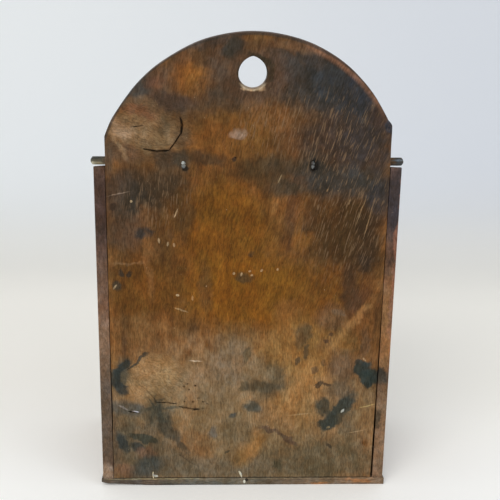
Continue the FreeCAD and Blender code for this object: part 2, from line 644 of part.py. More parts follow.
def make_box():
    clasp_head = make_taper("clasp_head", "no_offset", "clasp_head_depth",
                            ("clasp_head_length", "nail_width"), ("clasp_head_length", "nail_width"))
    side_nail = make_nail("side_nail", "side_nail_length", clasp_head)
    base_nail = make_nail("base_nail", "base_nail_length", clasp_head)
    side_nails_left = column_of_nails("side_nails_left", side_nail, INTO_LEFT, "-half_width")
    side_nails_right = column_of_nails("side_nails_right", side_nail, INTO_RIGHT, "half_width")
    along_edge = (base_nail, UP_HEAD_ALONG_X, "x")
    along_side = (base_nail, UP_HEAD_ALONG_Y, "y", "middle", "side_row_spacing")
    base_nails_back = row_of_nails("base_nails_back", *along_edge, "back_nail_offset",
                                   "base_nail_spacing", "back_row_y")
    base_nails_front = row_of_nails("base_nails_front", *along_edge, "no_offset",
                                    "base_nail_spacing", "front_row_y")
    base_nails_left = row_of_nails("base_nails_left", *along_side, "-side_row_x")
    base_nails_right = row_of_nails("base_nails_right", *along_side, "side_row_x")
    back_pins, back_tools, lid_pins, lid_tools = [], [], [], []
    for side, across in (("left", "-hinge_x"), ("right", "hinge_x")):
        for make_pin, part, pins, tools in ((make_back_pin, "back", back_pins, back_tools),
                                            (make_lid_pin, "lid", lid_pins, lid_tools)):
            pin, slot = make_pin(f"hinge_{side}_{part}_pin", across)
            pins.append(pin)
            tools += [pin, slot]
    boards = (
        fit("backboard", make_backboard(),
            [side_nails_left, side_nails_right, base_nails_back, *back_tools]),
        fit("side_left", make_side("side_left", "-half_width", "no_offset"),
            [side_nails_left, base_nails_left]),
        fit("side_right", make_side("side_right", "inner_half", "side_thickness"),
            [side_nails_right, base_nails_right]),
        fit("front_board", make_front_board(), [base_nails_front]),
        fit("base_board", make_base_board(),
            [base_nails_back, base_nails_front, base_nails_left, base_nails_right]),
        fit("lid", make_lid(), lid_tools),
    )
    return (*boards, *back_pins, *lid_pins, side_nails_left, side_nails_right,
            base_nails_back, base_nails_front, base_nails_left, base_nails_right)


def write_parts(parts):
    """Check every object of the document and every part's shape, then write the parts."""
    doc.recompute()
    failed = [item.Name for item in doc.Objects if {"Invalid", "Error"} & set(item.State)]
    if failed:
        raise RuntimeError(f"objects that did not build: {failed}")
    for part in parts:
        if part.Shape.isNull() or not part.Shape.isValid() or not part.Shape.Solids:
            raise RuntimeError(f"{part.Label} has no valid solid")
    os.makedirs("parts", exist_ok=True)
    for part in parts:
        part.Shape.exportStep(f"parts/{part.Label}.step")


write_parts(make_box())
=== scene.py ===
import math

import bmesh
import bpy
import numpy as np
from mathutils import Matrix, Vector
from mathutils.geometry import delaunay_2d_cdt


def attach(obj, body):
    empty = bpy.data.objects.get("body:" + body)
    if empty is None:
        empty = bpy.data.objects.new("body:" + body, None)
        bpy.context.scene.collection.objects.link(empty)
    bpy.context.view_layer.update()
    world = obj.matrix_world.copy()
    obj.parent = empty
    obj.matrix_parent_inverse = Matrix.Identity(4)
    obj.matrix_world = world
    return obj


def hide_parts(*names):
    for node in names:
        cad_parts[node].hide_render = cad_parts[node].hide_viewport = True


# Looks of a wall candle box, seen from behind: old boards with worn arrises, stains, cracks and
# worm holes, two snipe hinges and wrought nails. Shapes are worked out in millimetres in the row
# frame and written in metres. +Z is up, +Y the wall side, and the camera stands on that side, so
# that +X is at the picture's left.

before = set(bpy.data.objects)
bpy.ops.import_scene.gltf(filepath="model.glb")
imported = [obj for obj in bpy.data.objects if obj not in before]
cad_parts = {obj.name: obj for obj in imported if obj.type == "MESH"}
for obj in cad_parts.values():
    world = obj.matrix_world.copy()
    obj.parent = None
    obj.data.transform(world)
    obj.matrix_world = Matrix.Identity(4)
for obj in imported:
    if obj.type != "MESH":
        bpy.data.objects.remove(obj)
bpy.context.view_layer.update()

MM = 0.001

# ---- sizes of the object, in millimetres ------------------------------------------------------

FRONT, FRONT_INNER, BACK_FRONT, REAR = -73.5, -63.5, 65.5, 76.5
HALF_WIDTH, INNER_HALF = 140.8, 130.4
BASE_TOP = 8.0
LID_SLOPE = math.radians(13.4)
SIDE_TOP_REAR = 330.2
ARCH_X, ARCH_Z, ARCH_RADIUS = -2.8, 309.85, 141.37
HOLE_X, HOLE_Z, HOLE_RADIUS = -2.8, 413.75, 12.8
WORN_FLANK, WORN_TIP, TIP_RISE = 16.8, 4.5, 11.63
# dovetail pins: half the width outside, height of the half pins, pitch, and what the inside adds
PIN_HALF, END_PIN, PIN_PITCH, FLARE = 4.0, 7.0, 57.293, 1.673
PIN_MIDDLES = [BASE_TOP + PIN_PITCH * number for number in range(1, 5)]
LID_SEAT = 1.285
LID_Y, LID_Z = 60.6, 331.655
LID_HALF, LID_REAR, LID_FRONT, LID_HALF_THICK = 144.48, 2.98, 143.45, 3.82
LID_CORNER, LID_REAR_CORNER = 5.0, 1.6
HINGE_X, NOTCH_HALF, NOTCH_END = 59.0, 5.5, 7.775
BASE_HALF, BASE_FRONT, BASE_CORNER = 142.3, -76.48, 5.0


def side_top(y):
    """Height of the sides' sloping top at a depth."""
    return SIDE_TOP_REAR - (REAR - y) * math.tan(LID_SLOPE)


# ---- numbers and outlines ---------------------------------------------------------------------

CORNER_POINTS = 7       # of a rounded corner
STRETCH_LIMIT = 0.6     # keeps sharp corners from reaching far out when a ring is offset


def ramp(value, start, end):
    """0 at the start and before, 1 at the end and beyond, straight in between."""
    return np.clip((value - start) / (end - start), 0, 1)


def blend(share, first, second):
    """The first where the share is 0, the second where it is 1."""
    return first * (1 - share) + second * share


def arc(centre, radius, start, end, steps):
    """Points on an arc, angles in degrees."""
    turn = np.radians(np.linspace(start, end, steps))
    return [(centre[0] + radius * math.cos(t), centre[1] + radius * math.sin(t)) for t in turn]


def rounded(points, index, radius):
    """The ring of points with one corner rounded."""
    corner = np.array(points[index], float)
    before = np.array(points[index - 1], float) - corner
    after = np.array(points[(index + 1) % len(points)], float) - corner
    before, after = before / np.linalg.norm(before), after / np.linalg.norm(after)
    half = math.acos(np.clip(before @ after, -1, 1)) / 2
    run = radius / math.tan(half)
    middle = (before + after) / np.linalg.norm(before + after) * (radius / math.sin(half))
    first = math.atan2(*(before * run - middle)[::-1])
    last = math.atan2(*(after * run - middle)[::-1])
    turn = (last - first + math.pi) % (2 * math.pi) - math.pi
    curve = arc(corner + middle, radius, math.degrees(first), math.degrees(first + turn), CORNER_POINTS)
    return points[:index] + curve + points[index + 1:]


def dense(points, pitch):
    """The ring with no side longer than the pitch."""
    ring = []
    for first, last in zip(points, points[1:] + points[:1]):
        first, last = np.array(first, float), np.array(last, float)
        steps = max(1, math.ceil(np.linalg.norm(last - first) / pitch))
        ring += [first + (last - first) * k / steps for k in range(steps)]
    return np.array(ring)


def inside(points, ring):
    """Which points lie inside a ring."""
    x, y = points[:, 0], points[:, 1]
    result = np.zeros(len(points), bool)
    for (x1, y1), (x2, y2) in zip(ring, np.roll(ring, -1, axis=0)):
        if y1 == y2:
            continue
        crosses = (y1 > y) != (y2 > y)
        result ^= crosses & (x < (x2 - x1) * (y - y1) / (y2 - y1) + x1)
    return result


def within(points, loops):
    """Which points lie inside the first loop and outside the others."""
    keep = inside(points, loops[0])
    for hole in loops[1:]:
        keep &= ~inside(points, hole)
    return keep


def inward(ring, sign):
    """Unit inward directions at a ring's points, longer at corners so that offsets stay parallel."""
    ahead = np.roll(ring, -1, axis=0) - ring
    ahead /= np.linalg.norm(ahead, axis=1)[:, None]
    behind = np.roll(ahead, 1, axis=0)
    normal = np.stack([-(ahead + behind)[:, 1], (ahead + behind)[:, 0]], axis=1)
    normal /= np.linalg.norm(normal, axis=1)[:, None]
    side = np.stack([-ahead[:, 1], ahead[:, 0]], axis=1)
    stretch = np.clip((normal * side).sum(axis=1), STRETCH_LIMIT, 1)
    return normal / stretch[:, None] * sign


def area(ring):
    """Area, negative for a ring that runs clockwise."""
    x, y = ring[:, 0], ring[:, 1]
    return 0.5 * (x * np.roll(y, -1) - y * np.roll(x, -1)).sum()


# ---- relief of a face, in millimetres ---------------------------------------------------------

MARK_WALL = 0.16        # run of a crack's or pit's steep side
MARK_LIP = 0.04         # distance of the points just outside that side
CRACK_STEP, CRACK_AHEAD = 0.55, 0.3     # between a crack's points, and to see where it runs
CRACK_END, CRACK_FOOT = 0.02, 0.03      # keep a crack's ends and bottom from closing
JITTER, RIM_GAP = 0.3, 0.6      # of a face's inner points, as shares of their pitch
WAVES, WAVE_SPREAD, WAVE_SUM = 7, (0.6, 1.7), 1.6       # of an unevenness
EDGE_WAVE = 34      # wavelength of the unevenness along a board's edges


def ripple(points, seed, wavelength):
    """Soft unevenness between 0 and 1, as a plane iron and years of rubbing leave."""
    random = np.random.default_rng(seed)
    total = np.zeros(len(points))
    for _ in range(WAVES):
        turn, phase = random.uniform(0, math.pi), random.uniform(0, 2 * math.pi)
        step = 2 * math.pi / (wavelength * random.uniform(*WAVE_SPREAD))
        total += np.sin((points[:, 0] * math.cos(turn) + points[:, 1] * math.sin(turn)) * step + phase)
    return np.clip(0.5 + total / (WAVE_SUM * WAVES ** 0.5), 0, 1)


class Crack:
    """A split along a path, widest at its middle."""

    def __init__(self, path, width, depth):
        self.path, self.width, self.depth = np.array(path, float), width, depth
        self.lengths = np.linalg.norm(np.diff(self.path, axis=0), axis=1)
        self.starts = np.concatenate([[0], np.cumsum(self.lengths)])

    def spot(self, run):
        return np.array([np.interp(run, self.starts, self.path[:, k]) for k in (0, 1)])

    def halves(self, run):
        """Half widths at distances along the path."""
        share = np.clip(run / self.starts[-1], CRACK_END, 1 - CRACK_END)
        return self.width / 2 * np.sqrt(np.clip(np.sin(np.pi * share), 0, 1))

    def points(self):
        found = []
        for run in np.arange(0, self.starts[-1], CRACK_STEP):
            centre = self.spot(run)
            ahead = self.spot(run + CRACK_AHEAD) - centre
            across = np.array([-ahead[1], ahead[0]]) / np.linalg.norm(ahead)
            half = float(self.halves(run))
            foot = max(half - MARK_WALL, CRACK_FOOT)
            found += [centre + across * offset for offset in (half + MARK_LIP, -half - MARK_LIP, foot, -foot)]
        return np.array(found)

    def sunk(self, points):
        best = np.zeros(len(points))
        for first, last, start, length in zip(self.path, self.path[1:], self.starts, self.lengths):
            along = np.clip(((points - first) @ (last - first)) / length ** 2, 0, 1)
            away = np.linalg.norm(points - first - along[:, None] * (last - first), axis=1)
            half = self.halves(start + along * length)
            best = np.maximum(best, self.depth * ramp(away, half, half - MARK_WALL))
        return best


class Pit:
    """A steep round hole, such as a worm's exit hole."""

    def __init__(self, x, z, radius, depth):
        self.centre, self.radius, self.depth = np.array([x, z], float), radius, depth

    def points(self):
        turn = np.linspace(0, 2 * math.pi, 10, endpoint=False)
        unit = np.stack([np.cos(turn), np.sin(turn)], axis=1)
        return np.vstack([self.centre + unit * (self.radius + MARK_LIP),
                          self.centre + unit * (self.radius - MARK_WALL), self.centre[None]])

    def sunk(self, points):
        away = np.linalg.norm(points - self.centre, axis=1)
        return self.depth * ramp(away, self.radius, self.radius - MARK_WALL)


class Dish:
    """A shallow worn hollow, longer one way than the other; angle in degrees from the first axis."""

    def __init__(self, x, z, half_length, half_width, angle, depth):
        self.centre, self.depth = np.array([x, z], float), depth
        self.halves = half_length, half_width
        self.along = np.array([math.cos(math.radians(angle)), math.sin(math.radians(angle))])
        self.across = np.array([-self.along[1], self.along[0]])

    def points(self):
        found = [self.centre]
        for ring in (0.25, 0.5, 0.75, 1.0):
            for turn in np.linspace(0, 2 * math.pi, 14, endpoint=False):
                found.append(self.centre + ring * (math.cos(turn) * self.halves[0] * self.along
                                                   + math.sin(turn) * self.halves[1] * self.across))
        return np.array(found)

    def sunk(self, points):
        away = points - self.centre
        reach = np.hypot(away @ self.along / self.halves[0], away @ self.across / self.halves[1])
        return self.depth * np.clip(1 - reach ** 2, 0, 1) ** 1.5


class Face:
    """How one broad face of a board is filled: pitch of its points, unevenness, seed and sunk marks."""

    def __init__(self, pitch, uneven, seed, wavelength=55, marks=()):
        self.pitch, self.uneven, self.seed = pitch, uneven, seed
        self.wavelength, self.marks = wavelength, marks

    def fill(self, loops):
        low, high = loops[0].min(axis=0), loops[0].max(axis=0)
        random = np.random.default_rng(self.seed)
        across = np.arange(low[0], high[0], self.pitch)
        up = np.arange(low[1], high[1], self.pitch)
        grid = np.stack(np.meshgrid(across, up), axis=-1).reshape(-1, 2)
        grid += random.uniform(-JITTER, JITTER, grid.shape) * self.pitch
        grid = grid[within(grid, loops)]
        rim = np.vstack(loops)
        clear = [np.abs(rim - spot).max(axis=1).min() > RIM_GAP * self.pitch for spot in grid]
        grid = grid[np.array(clear, bool)]
        if self.marks:
            extra = np.vstack([mark.points() for mark in self.marks])
            grid = np.vstack([grid, extra[within(extra, loops)]])
        return grid

    def sunk(self, points):
        depth = self.uneven * ripple(points, self.seed, self.wavelength)
        for mark in self.marks:
            depth = np.maximum(depth, mark.sunk(points))
        return depth


# ---- meshes -----------------------------------------------------------------------------------

def add_object(name, data):
    thing = bpy.data.objects.new(name, data)
    bpy.context.scene.collection.objects.link(thing)
    return thing


def coat(mesh, material):
    """Gives a mesh one material in place of those it has."""
    mesh.materials.clear()
    mesh.materials.append(material)


class Shape:
    """Vertices and faces of one piece, gathered from several bodies of wood."""

    def __init__(self):
        self.verts, self.faces, self.count = [], [], 0

    def add(self, verts, faces):
        self.verts.append(np.asarray(verts, float))
        self.faces += [tuple(self.count + int(index) for index in face) for face in faces]
        self.count += len(verts)

    def build(self, name, material):
        mesh = bpy.data.meshes.new(name)
        mesh.from_pydata([tuple(v) for v in np.vstack(self.verts) * MM], [], self.faces)
        edit = bmesh.new()
        edit.from_mesh(mesh)
        bmesh.ops.delete(edit, geom=[v for v in edit.verts if not v.link_faces], context="VERTS")
        bmesh.ops.recalc_face_normals(edit, faces=edit.faces)
        edit.to_mesh(mesh)
        edit.free()
        mesh.polygons.foreach_set("use_smooth", [True] * len(mesh.polygons))
        coat(mesh, material)
        return add_object(name, mesh)


def fill(loops, interior):
    """Triangles between the loops and the interior points; the first loop is the outer one."""
    points = np.vstack([*loops, interior])
    edges, start = [], 0
    for loop in loops:
        count = len(loop)
        edges += [(start + k, start + (k + 1) % count) for k in range(count)]
        start += count
    spots, _, triangles, origin, _, _ = delaunay_2d_cdt([Vector(p) for p in points], edges, [], 1, 1e-5)
    middles = np.array([np.mean([spots[k] for k in tri], axis=0) for tri in triangles])
    kept = within(middles, loops)
    return [tuple(origin[k][0] for k in tri) for tri, keep in zip(triangles, kept) if keep]


def slab(shape, rings, low, high, place, rims, faces, uneven, seed, steps=4):
    """A board: rings of its outline, rounded at both rims, with filled and slightly uneven faces.

    rims gives the rounding at the low and high face, each a number or a function of the points.
    """
    ends = ((low, 1), (high, -1))
    turns = [math.pi / 2 * k / steps for k in range(steps + 1)]
    verts, polys, total = [], [], 0
    caps, cap_index = ([], []), ([], [])
    for number, ring in enumerate(rings):
        into = inward(ring, math.copysign(1, area(ring)) * (-1 if number else 1))
        ring = ring + into * (uneven * ripple(ring, seed + number, EDGE_WAVE))[:, None]
        count = len(ring)
        levels = []
        for (level, inner), rim, order in zip(ends, rims, (turns, turns[::-1])):
            radius = rim(ring) if callable(rim) else np.full(count, float(rim))
            levels += [(radius * (1 - math.sin(turn)), level + inner * radius * (1 - math.cos(turn)))
                       for turn in order]
        for row, (inset, across) in enumerate(levels):
            spots = ring + into * inset[:, None]
            if row in (0, len(levels) - 1):
                end = 0 if row == 0 else 1
                across = across + ends[end][1] * faces[end].sunk(spots)
                caps[end].append(spots)
                cap_index[end].extend(range(total + row * count, total + (row + 1) * count))
            verts.append(np.column_stack([spots, across]))
            if row:
                start = total + (row - 1) * count
                for k in range(count):
                    after = (k + 1) % count
                    polys.append((start + k, start + after, start + count + after, start + count + k))
        total += len(levels) * count
    for (level, inner), face, cap, index in zip(ends, faces, caps, cap_index):
        interior = face.fill(cap)
        verts.append(np.column_stack([interior, level + inner * face.sunk(interior)]))
        index += range(total, total + len(interior))
        total += len(interior)
        polys += [tuple(index[k] for k in tri) for tri in fill(cap, interior)]
    shape.add(place(*np.vstack(verts).T), polys)


def upright(u, v, w):
    """Board in the XZ plane, thickness along Y."""
    return np.column_stack([u, w, v])


def sideways(u, v, w):
    """Board in the YZ plane, thickness along X."""
    return np.column_stack([w, u, v])


def on_lid(u, v, w):
    """Lid's own plane, turned about the hinge axis."""
    return np.column_stack([u, LID_Y + v * math.cos(LID_SLOPE) - w * math.sin(LID_SLOPE),
                            LID_Z + v * math.sin(LID_SLOPE) + w * math.cos(LID_SLOPE)])


# ---- materials --------------------------------------------------------------------------------

def colour(red, green, blue):
    """Linear colour of a paint chip given as it looks on screen, 0 to 255."""
    def linear(part):
        part /= 255
        return part / 12.92 if part <= 0.04045 else ((part + 0.055) / 1.055) ** 2.4
    return (linear(red), linear(green), linear(blue), 1)


SOFT_FADE, HARD_FADE = 0.75, 0.1        # share of a patch over which it fades out


class Finish:
    """A node material; positions are the row frame's, in metres."""

    def __init__(self, name):
        self.material = bpy.data.materials.new(name)
        self.material.use_nodes = True
        self.tree = self.material.node_tree
        self.tree.nodes.clear()
        self.shader = self.add("BsdfPrincipled")
        self.add("OutputMaterial", {"Surface": self.shader.outputs["BSDF"]})
        self.place = self.add("TexCoord").outputs["Object"]

    def plug(self, node, key, value):
        """Gives a socket a value, or links it to another node's output."""
        if isinstance(value, bpy.types.NodeSocket):
            self.tree.links.new(value, node.inputs[key])
        else:
            node.inputs[key].default_value = value

    def add(self, kind, sockets=None, **settings):
        """A node with its settings, and with some sockets set or linked."""
        node = self.tree.nodes.new("ShaderNode" + kind)
        for name, value in settings.items():
            setattr(node, name, value)
        for key, value in (sockets or {}).items():
            self.plug(node, key, value)
        return node

    def set(self, **sockets):
        for name, value in sockets.items():
            self.plug(self.shader, name.replace("_", " "), value)

    def math(self, operation, *values, clamp=False):
        return self.add("Math", dict(enumerate(values)), operation=operation,
                        use_clamp=clamp).outputs[0]

    def times(self, first, *others):
        for other in others:
            first = self.math("MULTIPLY", first, other)
        return first

    def vector(self, operation, *values):
        return self.add("VectorMath", dict(enumerate(values)), operation=operation).outputs

    def split(self, place):
        return self.add("SeparateXYZ", {0: place}).outputs

    def noise(self, place, scale, detail, rough):
        """Noise with its own count of features per metre along each axis."""
        spread = self.vector("MULTIPLY", place, scale)[0]
        sockets = {"Vector": spread, "Scale": 1.0, "Detail": detail, "Roughness": rough}
        return self.add("TexNoise", sockets).outputs["Fac"]

    def remap(self, value, low, high, to_low=0.0, to_high=1.0):
        sockets = {"Value": value, "From Min": low, "From Max": high, "To Min": to_low, "To Max": to_high}
        return self.add("MapRange", sockets, interpolation_type="SMOOTHSTEP").outputs["Result"]

    def lerp(self, factor, first, second):
        return self.add("Mix", {0: factor, 2: first, 3: second}, data_type="FLOAT").outputs[0]

    def mix(self, factor, first, second, mode="MIX"):
        return self.add("Mix", {0: factor, 6: first, 7: second}, data_type="RGBA",
                        blend_type=mode).outputs[2]

    def tinted(self, tone, tint):
        return self.mix(1.0, tone, tint, "MULTIPLY")

    def bump(self, height, strength, distance):
        sockets = {"Strength": strength, "Distance": distance, "Height": height}
        return self.add("Bump", sockets).outputs[0]

    def warp(self, place, scale, reach):
        """The place shifted by smooth noise of about that reach, in metres."""
        noise = self.add("TexNoise", {"Vector": place, "Scale": scale, "Detail": 3.0})
        centred = self.vector("SUBTRACT", noise.outputs["Color"], (0.5, 0.5, 0.5))[0]
        return self.vector("ADD", place, self.vector("MULTIPLY", centred, (reach,) * 3)[0])[0]

    def turned(self, place, degrees, centre=(0, 0, 0), scale=(1, 1, 1)):
        """The place in a frame turned anticlockwise as seen from behind."""
        sockets = {"Vector": place, "Location": centre, "Scale": scale,
                   "Rotation": (0, math.radians(degrees), 0)}
        return self.add("Mapping", sockets, vector_type="TEXTURE").outputs[0]

    def patch(self, place, x, z, half_x, half_z, turn, hard, strength=1.0, y=REAR, depth=22.0):
        """Strength inside a turned ellipse on an upright face, half of it at the ellipse, 0 outside.

        hard runs from 0, soft, to 1.
        """
        fade = blend(hard, SOFT_FADE, HARD_FADE)
        size = tuple(half / (1 - fade / 2) * MM for half in (half_x, depth, half_z))
        local = self.turned(place, turn, (x * MM, y * MM, z * MM), size)
        ball = self.add("TexGradient", {"Vector": local}, gradient_type="SPHERICAL")
        return self.remap(ball.outputs["Fac"], 0.0, fade, 0.0, strength)

    def ring(self, x, z, radius, band):
        """0 before a band at a radius about a line along Y and 1 beyond it, and the height above the line.

        All of it in millimetres.
        """
        away = self.turned(self.place, 0, (x * MM, 0, z * MM), (MM, 1000.0, MM))
        share = self.remap(self.vector("LENGTH", away)["Value"], radius + band[0], radius + band[1])
        return share, self.split(away)["Z"]


ACROSS = {"x": (0.0, 1.0, 1.0), "y": (1.0, 0.0, 0.45), "z": (1.0, 1.0, 0.0)}
STAIN_DEPTH, MARK_DEPTH = 7.0, 6.0      # how deep they go into the board, in millimetres
# where the grain starts to lean, in metres, how much it leans, and how that changes along X
LEAN_HEIGHT, LEAN_SLANT, LEAN_MIDDLE, LEAN_CHANGE = 0.19, 0.3, 0.55, 3.4
# noise along the grain: features per metre across it and along it, detail and roughness
FINE, MEDIUM, STREAK = (820, 190, 3.0, 0.62), (260, 50, 3.0, 0.6), (90, 6, 3.0, 0.55)
PORES, THREADS = (900, 220, 2.0, 0.5), (980, 90, 2.0, 0.5)
# noise without a grain, or a knot's: features per metre along X, Y and Z, detail and roughness
MOTTLE, CLOUD = ((190, 190, 150), 4.0, 0.62), ((62, 62, 44), 5.0, 0.62)
DRIFT, GLINT = ((30, 30, 20), 4.0, 0.6), ((430, 430, 330), 2.0, 0.5)
KNOT_FINE, KNOT_MEDIUM = ((360, 760, 760), 3.0, 0.62), ((34, 200, 260), 3.0, 0.6)
IRON_CLOUD, IRON_GRIT = ((260, 260, 260), 4.0, 0.6), ((1500, 1500, 1500), 3.0, 0.6)
# where two of them are read, so that they differ from the others
DRIFT_PLACE, GLINT_PLACE = (0.7, 0.2, 0.5), (0.31, 0.17, 0.43)
# how places are shifted: features per metre and reach in metres
GRAIN_WARP, KNOT_WARP, MARK_WARP = (16.0, 0.006), (26.0, 0.022), (240.0, 0.0016)
STAIN_WARP, STAIN_FRAY = (34.0, 0.016), (130.0, 0.009)
USUAL_LOW, USUAL_HIGH = 0.28, 0.72      # most of a noise's values lie between these
SMOOTHEST, ROUGHEST, PORE_ROUGH, PORE_SHADE, END_GRAIN_SHADE = 0.44, 0.62, 0.15, 0.3, 0.3
SPECULAR, SPECULAR_TINT = 0.16, (1.0, 0.84, 0.62, 1)
THREAD_TONE, GLINT_TONE = (140, 112, 84), (176, 150, 116)


def stretched(along, across_scale, along_scale):
    """Features per metre along each axis, for grain that runs along one of them."""
    return tuple(across_scale * part if part else along_scale for part in ACROSS[along])


def leaning(f, place):
    """Upright grain that leans over towards the right shoulder, more the farther it is from the left."""
    parts = f.split(place)
    high = f.math("MAXIMUM", f.math("SUBTRACT", parts["Z"], LEAN_HEIGHT), 0.0)
    side = f.math("SUBTRACT", LEAN_MIDDLE, f.times(parts["X"], LEAN_CHANGE), clamp=True)
    shifted = f.math("ADD", parts["X"], f.times(high, side, LEAN_SLANT))
    return f.add("CombineXYZ", {0: shifted, 1: parts["Y"], 2: parts["Z"]}).outputs[0]


def with_stains_and_painted_light(f, tone, place, rows, y, depth):
    """The tone under stains and painted light; rows are x, z, half x, half z, turn, hard, colour, strength.
    """
    for x, z, half_x, half_z, turn, hard, chip, strength in rows:
        patch = f.patch(place, x, z, half_x, half_z, turn, hard, strength, y, depth)
        tone = f.mix(patch, tone, colour(*chip))
    return tone


def end_grain(f, along):
    """How much darker the ends of the grain are than its sides."""
    axis = [1.0 if name == along else 0.0 for name in "xyz"]
    facing = f.vector("DOT_PRODUCT", f.add("TexCoord").outputs["Normal"], axis)["Value"]
    return f.remap(f.math("ABSOLUTE", facing), 0.6, 0.9, 0.0, END_GRAIN_SHADE)


def warmth(f, mottle, cloud, drift):
    """Slow changes between a warmer and a cooler tint."""
    tint = f.mix(f.remap(mottle, 0.34, 0.66), (1.05, 0.985, 0.9, 1), (0.94, 1.01, 1.08, 1))
    tint = f.mix(f.remap(cloud, 0.42, 0.62), tint, f.tinted(tint, (0.96, 1.0, 1.1, 1)))
    return f.mix(f.remap(drift, 0.42, 0.6), tint, f.tinted(tint, (1.06, 0.96, 0.9, 1)))


def wood(name, along, tones, stains=(), marks=(), knots=(), strands=(), rims=None, lean=False, y=REAR,
         depth=STAIN_DEPTH, edge=REAR):
    """Old waxed hardwood: grain, pores, patina, and given stains and painted light.

    tones are dark, middle and light. Stains and the finer marks, some of them painted shade and highlights,
    have rows of x, z, half x, half z, turn, hard, colour and strength; knots have (x, z, half x, half z,
    turn, turn of the grain) and strands (x, z, half x, half z). y and depth say where the painted face lies
    and how deep its stains and painted light go, edge where the marked face lies.
    """
    dark, middle, light = (colour(*tone) for tone in tones)
    f = Finish(name)
    place = f.place
    grain_place = f.warp(place, *GRAIN_WARP)
    if lean:
        grain_place = leaning(f, grain_place)

    def grain(across, lengthwise, detail, rough):
        return f.noise(grain_place, stretched(along, across, lengthwise), detail, rough)

    fine, medium, streak = grain(*FINE), grain(*MEDIUM), grain(*STREAK)
    for x, z, half_x, half_z, turn, grain_turn in knots:
        here = f.patch(place, x, z, half_x, half_z, turn, 0.3)
        local = f.turned(f.warp(place, *KNOT_WARP), grain_turn)
        fine = f.lerp(here, fine, f.noise(local, *KNOT_FINE))
        medium = f.lerp(here, medium, f.noise(local, *KNOT_MEDIUM))
    mottle, cloud = f.noise(place, *MOTTLE), f.noise(place, *CLOUD)
    drift = f.noise(f.vector("ADD", place, DRIFT_PLACE)[0], *DRIFT)

    tone = f.mix(f.remap(streak, 0.32, 0.5), dark, middle)
    tone = f.mix(f.remap(streak, 0.5, 0.7, 0.0, 0.8), tone, light)
    tone = with_stains_and_painted_light(f, tone, f.warp(f.warp(place, *STAIN_WARP), *STAIN_FRAY), stains, y, depth)
    tone = with_stains_and_painted_light(f, tone, f.warp(place, *MARK_WARP), marks, edge, MARK_DEPTH)
    if rims:
        tone = rims(f, tone)
    tone = f.tinted(f.mix(end_grain(f, along), tone, dark), warmth(f, mottle, cloud, drift))

    pores = f.remap(grain(*PORES), 0.6, 0.72)
    shade = f.math("SUBTRACT", 1.0, f.times(pores, PORE_SHADE))
    for noise, darkest, lightest in ((fine, 0.68, 1.32), (medium, 0.84, 1.16), (mottle, 0.88, 1.12),
                                     (cloud, 0.74, 1.26), (drift, 0.88, 1.08)):
        shade = f.times(shade, f.remap(noise, USUAL_LOW, USUAL_HIGH, darkest, lightest))
    tone = f.tinted(tone, f.add("CombineColor", {0: shade, 1: shade, 2: shade}).outputs[0])

    threads = f.remap(grain(*THREADS), 0.54, 0.68, 0.0, 0.42)
    for x, z, half_x, half_z in strands:
        spread = f.patch(place, x, z, half_x, half_z, 0, 0.1)
        tone = f.mix(f.times(threads, spread), tone, colour(*THREAD_TONE))
    glint = f.noise(f.vector("ADD", place, GLINT_PLACE)[0], *GLINT)
    tone = f.mix(f.remap(glint, 0.725, 0.78, 0.0, 0.5), tone, colour(*GLINT_TONE))
    gloss = f.math("ADD", f.remap(mottle, 0.3, 0.7, SMOOTHEST, ROUGHEST), f.times(pores, PORE_ROUGH))
    height = f.math("SUBTRACT", f.times(f.math("ADD", fine, medium), 0.6), f.times(pores, 0.7))
    f.set(Base_Color=tone, Roughness=gloss, Normal=f.bump(height, 0.25, 0.0004),
          Specular_IOR_Level=SPECULAR, Specular_Tint=SPECULAR_TINT)
    return f.material


def iron(name, tones, metal, spots):
    """Hammered wrought iron: dull, darkly patinated, bare and with a painted highlight at spots of x, z,
    radius and strength.
    """
    dark, rust, bare = (colour(*tone) for tone in tones)
    f = Finish(name)
    cloud, grit = f.noise(f.place, *IRON_CLOUD), f.noise(f.place, *IRON_GRIT)
    tone = f.mix(f.remap(cloud, 0.42, 0.62), dark, rust)
    tone = f.mix(f.remap(grit, 0.55, 0.75, 0.0, 0.6), tone, bare)
    for x, z, radius, strength in spots:
        tone = f.mix(f.patch(f.place, x, z, radius, radius, 0, 0.3, strength), tone, bare)
    height = f.math("ADD", cloud, f.times(grit, 0.4))
    f.set(Base_Color=tone, Metallic=metal, Roughness=f.remap(cloud, 0.3, 0.7, 0.43, 0.7),
          Normal=f.bump(height, 0.5, 0.0003))
    return f.material


# ---- finishes ---------------------------------------------------------------------------------

# Rows of stains, marks and painted light give x, z, half x, half z, turn, hard, colour and strength, in
# millimetres and degrees, and each lies over the rows before it. These chips are used in several rows.
OLIVE, VIOLET, LIGHT = (74, 65, 45), (88, 68, 54), (184, 156, 118)
